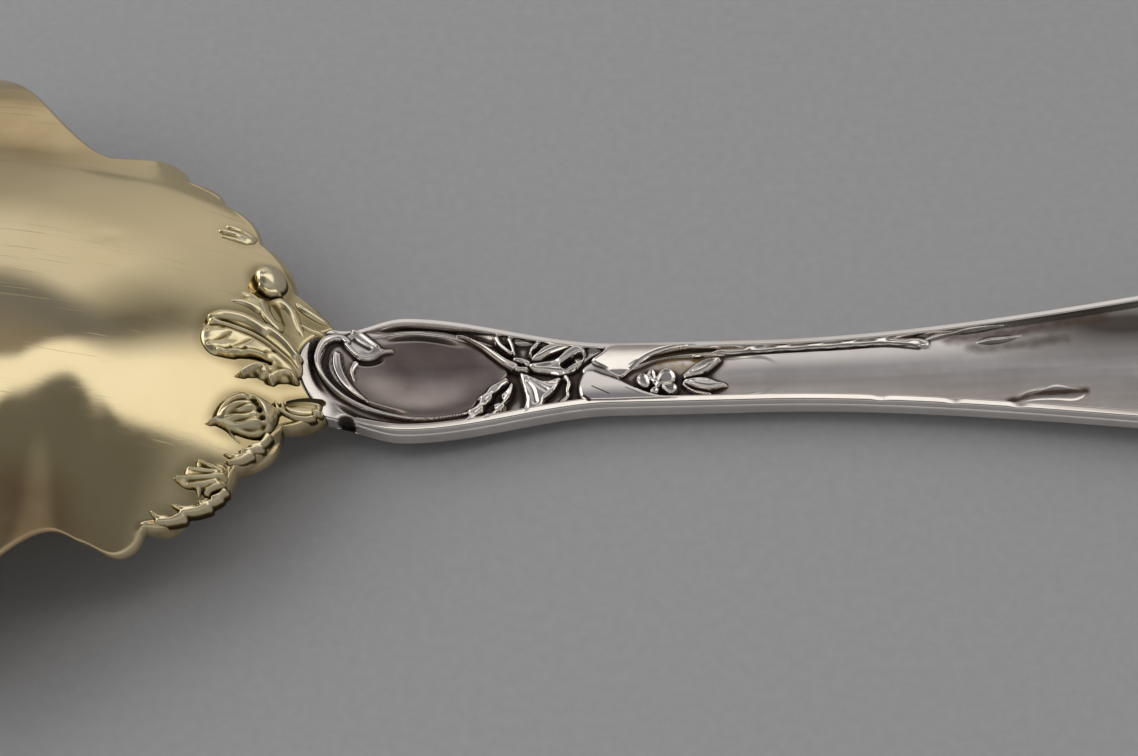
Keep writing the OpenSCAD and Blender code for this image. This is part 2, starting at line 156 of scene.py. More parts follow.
def arch_line(x):
    lift = TIP_LIFT * (np.maximum(x - ARCH_X, 0) / (HANDLE_LEN - ARCH_X)) ** 2
    return np.where(x < ARCH_X, NECK_RISE * ((ARCH_X - x) / ARCH_X) ** 2, lift)


def back_line(x):
    a = heel_line(x)
    b = arch_line(x) + mix(NECK_T, TIP_T, np.clip(x / HANDLE_LEN, 0, 1))
    return (a + b + np.sqrt((a - b) ** 2 + 4 * NECK_BLEND ** 2)) / 2


def dome(s):
    edge = math.sqrt(1 - DOME_K)
    return (np.sqrt(1 - DOME_K * np.minimum(s, 1.2)) - edge) / (1 - edge)


def wing_flare(x, y):
    rise = ease((-x - FLARE_START) / FLARE_RUN)
    fall = 1 - ease((-x - HEEL_LEN) / FLARE_FADE)
    near = np.where(y < 0, mix(NEAR_FLARE, 1, ease((-x - NEAR_FLARE_X) / NEAR_FLARE_RUN)), 1)
    return WING_FLARE * ease((np.abs(y) - FLARE_Y) / (WING_Y - FLARE_Y)) * rise * fall * near


def bowl_back(x, y):
    side = (y / WING_Y) ** 2
    front = BOWL_T + DOME_RISE * dome(((x + HEEL_LEN) / FRONT_LEN) ** 2 + side)
    heel = back_line(x) - DOME_RISE * (1 - dome(side))
    return wing_flare(x, y) + np.where(x < -HEEL_LEN, front, heel)


def bowl_wall(x, y):
    thicker = heel_share(x) ** WALL_POWER * np.maximum(0, 1 - (y / NECK_Y) ** 2)
    return BOWL_T + (NECK_T - BOWL_T) * thicker


def half_w(x):
    w = mix(NECK_Y, CART_W / 2, ease(x / CART_X))
    w = np.where(x >= CART_X, mix(CART_W / 2, STEM_W / 2, ease((x - CART_X) / (CART_LEN - CART_X))), w)
    flare = ease((x - FLARE_X) / (TERMINAL_X - FLARE_X))
    w = np.where(x >= CART_LEN, mix(STEM_W / 2, TERMINAL_W / 2, flare), w)
    tip = np.sqrt(np.maximum(0, 1 - ((x - TERMINAL_X) / TERMINAL_LEN) ** 2))
    return np.where(x >= TERMINAL_X, TERMINAL_W / 2 * tip, w)


def across_share(x, y):
    return np.minimum(1, (y / np.maximum(half_w(x), 0.1)) ** 2)


def handle_back(x, y):
    r = ((x - DISH_X) / DISH_A) ** 2 + (y / DISH_B) ** 2
    dish = np.where(r < 1, DISH_D * (1 - r) ** 2, 0)
    return back_line(x) - BACK_FALL * across_share(x, y) - dish


def handle_front(x, y):
    keel = np.maximum(arch_line(x), back_line(x) - NECK_T)
    return mix(keel, back_line(x), (1 - EDGE_SHARE) * across_share(x, y))


def joint_x(y):
    return -TONGUE * np.maximum(0, 1 - (y / NECK_Y) ** 2)


def ground(x, y):
    return np.where(x < joint_x(y), bowl_back(x, y), handle_back(x, y))


# Distances in the plan
def inside(x, y, outline):
    """Signed distance to a closed outline, positive inside."""
    a = np.asarray(outline, float)
    b = np.roll(a, -1, axis=0)
    best = np.full(x.shape, 1e9)
    odd = np.zeros(x.shape, bool)
    for (ax, ay), (bx, by) in zip(a, b):
        ex, ey = bx - ax, by - ay
        t = np.clip(((x - ax) * ex + (y - ay) * ey) / (ex * ex + ey * ey + 1e-12), 0, 1)
        best = np.minimum(best, (x - ax - t * ex) ** 2 + (y - ay - t * ey) ** 2)
        if ay != by:
            odd ^= ((ay > y) != (by > y)) & (x < ex * (y - ay) / ey + ax)
    return np.where(odd, 1, -1) * np.sqrt(best)


def along(x, y, path):
    """Distance to a path, share of the way along it, and signed distance to its left."""
    p = np.asarray(path, float)
    seg = np.diff(p, axis=0)
    length = np.hypot(seg[:, 0], seg[:, 1])
    start = np.concatenate([[0], np.cumsum(length)])
    best = np.full(x.shape, 1e9)
    share = np.zeros(x.shape)
    left = np.zeros(x.shape)
    for i, (ex, ey) in enumerate(seg):
        dx, dy = x - p[i, 0], y - p[i, 1]
        t = np.clip((dx * ex + dy * ey) / (length[i] ** 2 + 1e-12), 0, 1)
        d = np.hypot(dx - t * ex, dy - t * ey)
        near = d < best
        best = np.where(near, d, best)
        share = np.where(near, (start[i] + t * length[i]) / start[-1], share)
        left = np.where(near, (ex * dy - ey * dx) / max(length[i], 1e-6), left)
    return best, share, left


# Shapes of the relief. Each is a function of x and y that gives a height over the ground and falls
# steeply outside its outline. Marks are heights to add.
FALL = 3.0
EDGE_POWER = 1.6
VEIN_W = 0.3


def swell(d, w):
    """Rounded rise over the distance w from an outline."""
    t = np.clip(d / w, 0, 1)
    return np.sqrt(1 - (1 - t) ** 2)


def union(k, *shapes):
    """Highest of several shapes, where neighbours run into each other over the height k."""
    def draw(x, y):
        out = shapes[0](x, y)
        for shape in shapes[1:]:
            h = shape(x, y)
            out = np.maximum(out, h) + np.maximum(0, k - np.abs(out - h)) ** 2 / (4 * k)
        return out
    return draw


def highest(*shapes):
    return lambda x, y: np.maximum.reduce([shape(x, y) for shape in shapes])


def finger(points, r0, r1, h, shape=0.5, vein=0.0):
    """Rounded lobe along a path, its radius going from r0 to r1, with a vein along its crest."""
    def draw(x, y):
        d, t, left = along(x, y, curve(points))
        r = mix(r0, r1, t)
        inner = np.clip(1 - (d / r) ** 2, 0, 1)
        top = h * inner ** shape - vein * np.exp(-(left / (VEIN_W * r)) ** 2) * inner
        return np.where(d < r, top, FALL * (r - d))
    return draw


def lobes(rows, shape=0.7, vein=0.0, k=0.12):
    """Leaf made of fingers that run into each other."""
    return union(k, *[finger(*row, shape, vein) for row in rows])


def plate(outline, h, rise):
    """Plate inside an outline with a rounded edge."""
    def draw(x, y):
        d = inside(x, y, curve(outline, closed=True))
        return np.where(d > 0, h * swell(d, rise) ** EDGE_POWER, FALL * d)
    return draw


def cup(outline, h, rim, hollow):
    """Petal inside an outline with a rolled rim and a hollow middle."""
    def draw(x, y):
        d = inside(x, y, curve(outline, closed=True))
        top = h * swell(d, rim) - hollow * ease((d - 0.7 * rim) / (1.6 * rim))
        return np.where(d > 0, top, FALL * d)
    return draw


def ball(cx, cy, rx, ry, h):
    def draw(x, y):
        r = np.hypot((x - cx) / rx, (y - cy) / ry)
        return np.where(r < 1, h * np.sqrt(np.clip(1 - r * r, 0, 1)), FALL * rx * (1 - r))
    return draw


def cut(path, w, depth, fade=0.12):
    """Mark of an engraved line that fades at its ends."""
    def draw(x, y):
        d, t, _ = along(x, y, curve(path))
        return -depth * np.exp(-(d / w) ** 2) * ease(t / fade) * ease((1 - t) / fade)
    return draw


def dent(depth, *place):
    """Mark of a soft round hollow."""
    return lambda x, y: -depth * bump(x, y, *place)


def carved(shape, *marks):
    return lambda x, y: shape(x, y) + sum(mark(x, y) for mark in marks)


def tilted(shape, slope, level):
    """Shape that rises across the handle, by the slope from the level in y."""
    def draw(x, y):
        h = shape(x, y)
        return np.where(h > 0, h + slope * (y - level), h)
    return draw


# Height map that all relief of one side shares: it gives the pieces' meshes, their patina, and the shade and
# highlights painted on them
GRID = 0.07
FINE_R, FINE_D = 0.18, 0.1
WIDE_R, WIDE_D = 0.6, 0.3
DEEPEST = 0.5


class Field:
    def __init__(self, x_range, y_range, soft, base):
        self.soft = soft
        self.gx = np.arange(*x_range, GRID)
        self.gy = np.arange(*y_range, GRID)
        self.x, self.y = np.meshgrid(self.gx, self.gy, indexing="ij")
        self.base = base(self.x, self.y)
        self.height = self.base.copy()
        self.pieces = {}

    def add(self, name, box, draw, soft=None):
        """Draw one piece in its box of the plan: lowest and highest x, lowest and highest y."""
        rows = slice(*np.searchsorted(self.gx, box[:2]))
        cols = slice(*np.searchsorted(self.gy, box[2:]))
        h = np.maximum(draw(self.x[rows, cols], self.y[rows, cols]), self.base[rows, cols] - DEEPEST)
        h = blur(h, (soft or self.soft) / GRID)
        self.pieces[name] = (rows, cols, h)
        self.height[rows, cols] = np.maximum(self.height[rows, cols], h)

    def shade(self, stain_and_shade_lines):
        """How deep each place lies under its surroundings, at a fine and a wide scale, with lines of stain
        and of painted shade.
        """
        self.cavity = np.clip((blur(self.height, FINE_R / GRID) - self.height) / FINE_D, -1, 1)
        self.deep = np.clip((blur(self.height, WIDE_R / GRID) - self.height) / WIDE_D, -1, 1)
        for path, w, strength in stain_and_shade_lines:
            mark = strength * np.exp(-(along(self.x, self.y, curve(path))[0] / w) ** 2)
            self.cavity = np.maximum(self.cavity, mark)
            self.deep = np.maximum(self.deep, mark)

    def sample(self, values, x, y):
        u = np.clip((x - self.gx[0]) / GRID, 0, len(self.gx) - 1.001)
        v = np.clip((y - self.gy[0]) / GRID, 0, len(self.gy) - 1.001)
        i, j = u.astype(int), v.astype(int)
        a, b = u - i, v - j
        low = mix(values[i, j], values[i + 1, j], a)
        return mix(low, mix(values[i, j + 1], values[i + 1, j + 1], a), b)


# Relief on the bowl
on_bowl = Field((-17, 1.4), (-22.5, 17), 0.09, lambda x, y: np.zeros(x.shape))


def heel_leaf():
    body = plate([
        (-10.8, 0.9), (-11.4, -0.2), (-11.5, -1.4), (-11.1, -2.4), (-10.3, -3), (-9.4, -2.9), (-8.3, -2.7),
        (-7.5, -2.2), (-6.9, -2.1), (-6.2, -2.1), (-6.6, -2.6), (-7.2, -3.3), (-7.8, -4.5), (-6.9, -4.2),
        (-5.9, -4), (-5.2, -4.2), (-4.5, -3.8), (-3.5, -3.3), (-2.8, -2.7), (-2.4, -2), (-2.3, -1.2),
        (-2.6, 0.2), (-3.6, 1.4), (-4.6, 2.1), (-6, 2.3), (-7.7, 2.7), (-9.3, 2.5), (-10.3, 1.8)], 0.8, 1.2)
    rolls = lobes([
        ([(-10.4, 0.9), (-9.5, 1.75), (-8, 2.1), (-6.8, 1.95), (-5.9, 1.6)], 0.75, 0.9, 1.3),
        ([(-5.6, 1.85), (-4.7, 1.5), (-3.7, 0.8), (-2.9, -0.1)], 0.8, 0.55, 1.25)], 0.7, 0.0, 0.2)
    crests = lobes([
        ([(-9.5, -2.5), (-8.4, -2.2), (-7.4, -1.75), (-6.4, -1.5), (-5.7, -1.45)], 0.45, 0.4, 1.2),
        ([(-7.5, -4.2), (-6.9, -3.4), (-6.2, -2.8), (-5.6, -2.8), (-5.4, -3.4)], 0.3, 0.46, 1.15),
        ([(-5, -3.8), (-4.5, -3), (-3.9, -2.4), (-3.2, -2.4), (-2.9, -2.8)], 0.46, 0.4, 1.15)],
        0.9, 0.0, 0.35)
    dents = [
        dent(0.3, -8.9, -0.9, 1.5, 0.7, 15), dent(0.3, -4.6, -1.9, 1.1, 0.5, -35),
        dent(0.45, -5.2, -3.9, 0.3, 0.35), dent(0.35, -6.3, -3.7, 0.35, 0.3, 45)]
    rib = np.array([
        (-11, 0.2), (-9.6, 0.65), (-8.3, 0.7), (-6.9, 0.6), (-5.6, 0.2), (-4.3, -0.5), (-3.2, -1.2),
        (-2.5, -1.9)])
    ribs = [
        cut(rib, 0.14, -0.2, 0.05), cut(rib + [0, 0.3], 0.12, 0.24, 0.05),
        cut(rib - [0, 0.3], 0.12, 0.22, 0.05)]
    veins = [cut(path, 0.14, 0.16) for path in (
        [(-11.2, -0.6), (-10, -0.1), (-9.2, 0.3)], [(-10.9, -2.2), (-9.8, -1.2), (-8.6, 0.1)],
        [(-8.8, -1.8), (-7.8, -0.9), (-6.8, 0.1)], [(-5.8, -1.1), (-5.2, -0.7), (-4.7, -0.4)])]
    waves = [cut(path, 0.28, 0.3) for path in (
        [(-9.6, -3.1), (-9, -2.2), (-8.5, -1.6)], [(-8.1, -2.8), (-7.7, -1.9), (-7.2, -1.2)])]
    gap = cut([(-7.2, -2.3), (-6.4, -2.1), (-5.6, -1.95), (-4.9, -2)], 0.22, 0.8)
    return carved(union(0.35, body, crests, rolls), *dents, *ribs, *veins, *waves, gap)


on_bowl.add("heel_leaf", (-12.4, -1.6, -5.6, 3.6), heel_leaf())

# Striped bud: each stripe has its place across the bud, its depth and its wave
BUD_TIP = np.array([-9.7, -10.2])
BUD_END = np.array([-4.1, -6.7])
BUD_W, BUD_H = 2.2, 2.4
BUD_CUP, CUP_GROOVE = 0.72, 0.75
STRIPE_W = 0.1
STRIPES = (
    (0.72, 0.3, 0.02), (0.38, 0.8, 0.03), (0.1, 0.7, 0.05), (-0.16, 0.8, 0.06), (-0.46, 0.75, 0.05),
    (-0.78, 0.7, 0.02))


def bud_bulb(x, y):
    """Bud along its axis: u goes from the tip to the stem, q across it from -1 to 1."""
    axis = BUD_END - BUD_TIP
    size = np.hypot(*axis)
    u = ((x - BUD_TIP[0]) * axis[0] + (y - BUD_TIP[1]) * axis[1]) / size ** 2
    v = ((y - BUD_TIP[1]) * axis[0] - (x - BUD_TIP[0]) * axis[1]) / size
    full = np.clip(np.sin(np.pi * np.clip(u, 0, 1) ** 1.15), 0, 1)
    side = BUD_W * full ** 0.8 + 1e-3
    q = v / side
    inner = np.clip(1 - q * q, 0, 1)
    h = BUD_H * np.sqrt(inner) * full ** 0.5
    petals = (1 - ease((u - BUD_CUP) / 0.03)) * (np.abs(q) < 1)
    for line, depth, wave in STRIPES:
        way = q - line - wave * np.sin(11 * u + 9 * line)
        uneven = 0.8 + 0.2 * np.sin(13 * u + 20 * line)
        h = h - depth * full * np.exp(-(way / STRIPE_W) ** 2) * petals * uneven
    h = h - CUP_GROOVE * full * np.exp(-((u - BUD_CUP + 0.12 * q * q) / 0.045) ** 2) * inner
    within = (u > 0) & (u < 1)
    bulb = np.where(np.abs(q) < 1, h, FALL * np.minimum(side - np.abs(v), 0))
    return np.where(within, bulb, -1.0)


on_bowl.add("near_bud", (-10.6, -3.4, -12, -4.6), union(0.1, bud_bulb, lobes([
    ([(-8.2, -9.1), (-9.1, -9.7), (-10.1, -10.35)], 0.5, 0.12, 1.1),
    ([(-8, -8.6), (-8.5, -8.2), (-8.6, -7.7)], 0.34, 0.12, 0.8),
    ([(-8.6, -10.3), (-8, -10.8), (-7.4, -11.2)], 0.16, 0.12, 0.3)])))
on_bowl.add("near_bud_stem", (-5.4, 0.4, -7.6, -4.6), lobes([
    ([(-4.3, -6.5), (-3.5, -6.7), (-2.6, -6.75), (-1.7, -6.5), (-1.1, -6.1)], 0.2, 0.3, 0.75),
    ([(-4.4, -6.1), (-4.2, -6.6), (-4.2, -7)], 0.3, 0.24, 1.0),
    ([(-3.8, -5.9), (-3.7, -6.4)], 0.28, 0.24, 1.0),
    ([(-0.9, -5.5), (-0.6, -5.4)], 0.42, 0.4, 0.85)], 0.8, 0.0, 0.15))

# Near sepal, with an opening above it that is painted dark as shade
SLIT = [(-3.5, -5.35), (-2.6, -4.75), (-1.7, -4.3), (-0.9, -4.05), (-0.45, -3.95)]
sepal_blade = carved(
    plate([
        (-3.9, -6), (-3.1, -5.35), (-2.1, -4.75), (-1.2, -4.35), (-0.4, -4.3), (-0.4, -5), (-0.8, -5.8),
        (-1.5, -6.4), (-2.4, -6.7), (-3.3, -6.6)], 0.6, 0.7),
    cut([(-3.6, -5.9), (-2.4, -5.5), (-1.4, -5.1), (-0.6, -4.9)], 0.4, 0.3))
sepal_lip = finger([(-3.4, -5.6), (-2.2, -4.95), (-1.2, -4.6), (-0.6, -4.5)], 0.12, 0.2, 0.6, 0.8)
on_bowl.add("near_sepal", (-5, 0, -7, -3), highest(
    union(0.2, sepal_blade, sepal_lip), finger(SLIT, 0.2, 0.46, 0.07)))

# Round bud on the far shoulder, with its stem and leaves
on_bowl.add("far_bud", (-8.2, -3.9, 5.8, 11), union(
    0.1, ball(-6.05, 8.5, 1.5, 1.9, 2.1), finger([(-6.8, 7), (-6, 6.6), (-5.2, 7)], 0.35, 0.35, 1.0, 0.6)))
on_bowl.add("far_bud_stem", (-7.8, -1.8, 1.8, 8.2), lobes([
    ([(-6.7, 5.6), (-6.3, 4.4), (-5.7, 3.4), (-4.9, 2.6)], 0.55, 0.6, 0.7),
    ([(-5, 6.5), (-4.1, 5.9), (-3.5, 5), (-3.1, 3.9), (-2.7, 3)], 0.6, 0.3, 0.65),
    ([(-5.7, 6.3), (-5.2, 5.2), (-4.6, 4.1), (-4.2, 3.2)], 0.35, 0.2, 0.4)], 1.1, 0.0, 0.2), 0.32)
far_blade = plate([
    (-3.9, 7.2), (-2.6, 7.1), (-1.2, 6.5), (-0.4, 5.9), (-0.9, 5.4), (-2.1, 5.6), (-3.2, 6)], 0.85, 0.8)
far_lip = finger([(-2.9, 4.3), (-1.9, 4.1), (-1, 4.3)], 0.35, 0.3, 0.6, 0.7)
on_bowl.add("far_leaflet", (-4.8, 0, 3.2, 8.2), carved(
    union(0.1, far_blade, far_lip), cut([(-3.5, 6.7), (-2.2, 6.4), (-1, 5.9)], 0.16, 0.25)), 0.28)
on_bowl.add("side_leaflet", (-10, -5.4, 2.8, 7.2), lobes([
    ([(-6.7, 4.3), (-7.8, 4.6), (-9.2, 4.3)], 0.75, 0.3, 0.6),
    ([(-6.7, 5.3), (-7.4, 5.7), (-8.4, 5.8)], 0.65, 0.3, 0.6)], 1.0, 0.1, 0.2), 0.3)

# Leaves along the rim
shoulder_blade = plate([
    (-13, -16.4), (-12.2, -15.9), (-11.9, -15), (-11.2, -15), (-11, -14), (-10.2, -14.5), (-9.5, -13.9),
    (-8.8, -13.7), (-8.3, -14.2), (-8.3, -15.9), (-8.7, -16.5), (-9.3, -16.5), (-9.8, -17.4),
    (-10.4, -16.9), (-10.8, -17.5), (-11.2, -16.8), (-12, -17)], 0.7, 0.7)
on_bowl.add("shoulder_leaf", (-13.6, -7.4, -18.2, -13), union(0.1, shoulder_blade, lobes([
    ([(-8.6, -15.1), (-10.4, -15.8), (-12.7, -16.4)], 0.42, 0.14, 1.15),
    ([(-8.8, -14.7), (-9.8, -14.5), (-10.8, -14.2)], 0.42, 0.16, 1.0),
    ([(-9.2, -15), (-10.4, -15.1), (-11.6, -15.2)], 0.36, 0.14, 1.05),
    ([(-9.2, -15.8), (-10.3, -16.3), (-11.7, -16.8)], 0.36, 0.14, 1.05),
    ([(-8.9, -16), (-9.6, -16.5), (-10.2, -17.1)], 0.4, 0.16, 1.0)], 0.9, 0.0, 0.05)))
on_bowl.add("near_rim_leaf", (-9, -4, -14.4, -9), lobes([
    ([(-8.5, -12.8), (-7.7, -12.8), (-6.9, -12.5)], 0.2, 0.5, 0.7),
    ([(-8.2, -13.5), (-7.2, -13), (-6.4, -12.1)], 0.25, 0.5, 0.85),
    ([(-7.1, -12), (-6.2, -11.6), (-5.6, -11.1)], 0.2, 0.5, 0.85),
    ([(-6.2, -11.2), (-5.4, -10.7), (-4.9, -9.7)], 0.25, 0.45, 0.85)], 0.8, 0.1, 0.08))
on_bowl.add("near_rim_sprig", (-15.6, -7.8, -21.4, -15.8), lobes([
    ([(-14.9, -19.8), (-14.3, -20.2), (-13.6, -20.2)], 0.15, 0.5, 0.75),
    ([(-14.4, -20.6), (-13.2, -20.2), (-12.2, -19.6)], 0.2, 0.52, 0.85),
    ([(-13, -18.8), (-12, -18.9), (-11.2, -18.7)], 0.16, 0.5, 0.8),
    ([(-12.2, -19.3), (-11, -18.8), (-10, -18.1)], 0.26, 0.5, 0.9),
    ([(-10.7, -17.9), (-9.7, -17.7), (-9, -17)], 0.18, 0.46, 0.8),
    ([(-9.6, -17.2), (-8.9, -16.8), (-8.5, -16.3)], 0.2, 0.4, 0.8)], 0.8, 0.12, 0.08))
on_bowl.add("far_rim_sprig", (-12.4, -7, 12, 16.4), lobes([
    ([(-8.4, 14.2), (-9.6, 14.8), (-10.8, 14.8)], 0.5, 0.35, 0.5),
    ([(-8.6, 13.6), (-10, 13.9), (-11.4, 13.7)], 0.5, 0.3, 0.55),
    ([(-9, 13.1), (-10.2, 13), (-11.2, 12.9)], 0.4, 0.25, 0.4)], 1.0, 0.0, 0.15), 0.2)
# Painted shade in the slit above the near sepal, and tarnish and painted shade in two gaps by the far stem
# and leaflet.
on_bowl.shade([
    (SLIT, 0.34, 1.7), ([(-5.4, 5.3), (-4.8, 4.4), (-4.2, 3.6)], 0.5, 0.7),
    ([(-2.6, 4.9), (-1.4, 4.9), (-0.3, 5.1)], 0.4, 0.8)])

# Sunk and engraved places of the handle's back, with their widths and depths
GROOVES = [
    ([(3, 5.4), (5.3, 5.75), (7.1, 6.1), (9.4, 6.15), (11.8, 5.85), (15, 4.8), (17, 3.7), (18.3, 2.5)],
     0.38, 0.6),
    ([(4.6, 4.1), (6.7, 4.55), (9, 4.65), (11.3, 4.3), (13.7, 3.6)], 0.26, 0.32),
    ([(0.9, 4.95), (-0.5, 4.5), (-1.4, 3), (-1.75, 1.2), (-1.5, -0.6), (-0.8, -2.1), (0.2, -3.2)],
     0.26, 0.45),
    ([(0.2, -3.2), (1.8, -4.3), (3.8, -5.15), (6, -5.75), (8.4, -6.1), (10.7, -6.05), (13.2, -5.5)],
     0.26, 0.4),
    ([(1.5, 3.2), (0.6, 3.4), (-0.2, 2.6), (-0.4, 1.2), (-0.2, 0), (0.5, -1.2), (1.8, -2.5), (3.3, -3.5),
      (6, -4.4), (9, -4.8)], 0.28, 0.42),
    ([(1.9, 2.4), (2.7, 1.5), (3.6, 1.3), (4.6, 1.6), (5.6, 2.2)], 0.22, 0.3),
    ([(20.9, 1.9), (21.9, 2.3), (23.1, 2.75), (24.2, 3.3)], 0.2, 0.45),
    ([(20.2, 0.4), (21.5, 0), (22.8, -0.15), (24.2, 0), (25.2, 0.7), (26.1, 1.6), (28.2, 3.3)], 0.22, 0.5),
    ([(29.3, -0.35), (31.3, 0.95), (32.9, 1.85), (35.1, 2.5), (37.3, 2.75), (41.7, 3.1), (46.7, 3.5),
      (51.9, 3.85), (57, 3.9), (60, 3.3)], 0.2, 0.34),
    ([(37.3, 1.75), (40.1, 2.05), (44.1, 2.3), (48, 2.45), (51.8, 2.55), (56, 2.7), (59.5, 2.2)],
     0.14, 0.24),
    ([(68.3, -4.6), (70.6, -3.9), (72.9, -3.8), (75.6, -3.8)], 0.35, 0.2)]
HOLLOWS = [
    ([(14, 4.6), (16, 3.8), (18, 3.9), (20.5, 3.9), (21.4, 3.2), (23, 3.2), (25.4, 0.8), (25.2, -1),
      (25.3, -2.8), (25.9, -3.7), (22, -4.3), (17, -5.4), (14.6, -5.5), (15, -3.4), (17.4, -0.8), (18, 0.6),
      (16.4, 2)], 0.42),
    ([(29.4, -0.35), (31.4, 0.9), (33.4, 1.8), (36, 2.1), (40, 1.9), (44, 1.6), (46, -0.4), (44, -2.4),
      (40, -2.9), (36, -2.9), (33, -2.4), (31, -1.5)], 0.36)]
HOLLOW_EDGE = 0.45
HOLLOW_X, HOLLOW_FADE = 36, 10
GROOVE_FADE = 0.3


def sunk(x, y):
    """Height of the handle's back below the plain surface, zero or less."""
    h = np.zeros(x.shape)
    for path, w, depth in GROOVES:
        h = np.minimum(h, cut(path, w, depth, GROOVE_FADE)(x, y))
    fade = 1 - ease((x - HOLLOW_X) / HOLLOW_FADE)
    for outline, depth in HOLLOWS:
        edge = inside(x, y, curve(outline, closed=True)) / HOLLOW_EDGE
        h = np.minimum(h, -depth * fade * ease(edge + 0.5))
    return h


# Scrolls and wires round the cartouche
MAP_END = 82
on_handle = Field((-3, MAP_END), (-7.6, 7.6), 0.08, sunk)
on_handle.add("c_scroll", (-2.2, 15, -6.3, 5), finger([
    (1.5, 3.7), (1, 4.1), (0.2, 4.05), (-0.6, 3.3), (-1, 2), (-1.1, 0.5), (-0.6, -0.9), (0.3, -2),
    (1.6, -3.1), (3.1, -3.95), (4.8, -4.65), (6.6, -5.15), (8.4, -5.45), (10.6, -5.45), (13, -5),
    (14.4, -4.6)], 0.46, 0.08, 0.75, 0.4))
s_band = plate([
    (1.1, 4.3), (2, 5.3), (2.9, 4.85), (3.9, 4), (4.8, 3.3), (6, 3), (5.2, 2.45), (4.4, 1.9), (3.5, 1.65),
    (2.7, 1.8), (1.9, 2.7), (1.2, 3.5)], 0.34, 0.35)
s_rims = lobes([
    ([(2, 5.2), (2.9, 4.75), (3.9, 3.9), (4.7, 3.25)], 0.36, 0.2, 0.6),
    ([(1.4, 3.4), (1.9, 2.8), (2.7, 2), (3.5, 1.8), (4.4, 2.05), (5.2, 2.6), (6.1, 2.85)],
     0.34, 0.2, 0.55)], 0.8)
on_handle.add("s_scroll", (0.6, 6.9, 0.9, 6), carved(
    union(0.06, s_band, s_rims), cut([(1.9, 4.3), (2.8, 3.6), (4.1, 2.8)], 0.25, 0.25)))
inner_band = plate([
    (0.2, 2.5), (0.8, 2.3), (1.1, 0.9), (1.6, -0.6), (2.6, -2), (4, -3.4), (3.2, -3.1), (1.9, -2.1),
    (0.8, -0.8), (0.2, 0.8)], 0.3, 0.25)
on_handle.add("inner_wire", (0, 4.6, -4.2, 2.9), union(0.05, inner_band, lobes([
    ([(0.8, 2.1), (1.1, 0.5), (1.7, -0.9), (2.7, -2.2), (4, -3.4)], 0.2, 0.14, 0.42),
    ([(2.5, 1.2), (2.2, 0.2), (2.5, -1)], 0.36, 0.14, 0.25)], 0.8)))
on_handle.add("upper_wire", (3.2, 15.2, 3, 6), lobes([
    ([(9, 5.25), (7.1, 5.2), (5, 4.75), (3.8, 4.4)], 0.24, 0.08, 0.26),
    ([(8.8, 5.25), (11.4, 4.85), (13.2, 4.3), (14.6, 3.6)], 0.24, 0.08, 0.26)], 0.5))

# Ribbon bow
on_handle.add("ribbon_strap", (12, 19.4, -0.2, 5.3), finger([
    (12.6, 4.75), (13.6, 4.4), (15.3, 3.35), (16.7, 2.2), (17.8, 1.3), (18.7, 0.8)], 0.1, 0.5, 0.85, 0.6))
on_handle.add("ribbon_knot", (18, 20.8, -0.4, 2.4), lobes([
    ([(18.7, 1.6), (19.4, 1.5), (20, 1.2)], 0.3, 0.4, 0.75),
    ([(18.5, 0.8), (19.2, 0.4), (19.9, 0.4)], 0.36, 0.3, 0.8)], 0.6))
on_handle.add("first_tail", (12.8, 18.6, -6.6, 0), carved(plate([
    (17.9, -0.5), (17.1, -1.1), (16.3, -1.6), (15.8, -2.4), (15, -3), (15.3, -3.3), (14.8, -4), (14, -4.5),
    (14.2, -5), (13.5, -6), (14.7, -5.8), (15.1, -5), (15.8, -4.4), (15.9, -3.7), (16.6, -3), (16.8, -2.3),
    (17.5, -1.6), (18.2, -1)], 0.7, 0.35),
    cut([(17.4, -1.3), (16.4, -2.4), (15.5, -3.8), (14.4, -5.3)], 0.13, 0.28)))
on_handle.add("second_tail", (14.6, 19.2, -6.2, -0.2), carved(plate([
    (18.5, -0.9), (18, -1.9), (17.4, -2.7), (17.5, -3.2), (16.7, -3.8), (16.7, -4.3), (15.9, -4.8),
    (15.2, -5.6), (16.3, -5.6), (17, -5.1), (17.3, -4.5), (17.9, -4.1), (18, -3.4), (18.5, -2.7),
    (18.7, -1.6)], 0.7, 0.35),
    cut([(18.2, -2), (17.8, -3), (17, -4.2), (16, -5.2)], 0.13, 0.28)))


def fan(x, y):
    h = tilted(plate([
        (19.2, 0.3), (20.6, -0.3), (22, -0.8), (23.4, -0.4), (22.8, -2), (21.9, -3), (21.6, -4),
        (20.2, -4.8), (19.6, -4.8), (19.9, -3.2), (19.6, -1.7)], 0.4, 0.3), -0.07, -1)(x, y)
    for fold, w, depth in (
            ([(20, -0.4), (21, -1.2), (22.3, -2.2)], 0.2, 0.18),
            ([(19.8, -0.8), (20.6, -2), (21, -3.8)], 0.22, 0.192),
            ([(20.8, -0.6), (22, -1.2), (23, -1.3)], 0.14, 0.12),
            ([(20.1, -2.6), (20.1, -4.4)], 0.12, 0.12)):
        h = h + cut(fold, w, depth)(x, y) * (h > 0)
    return h


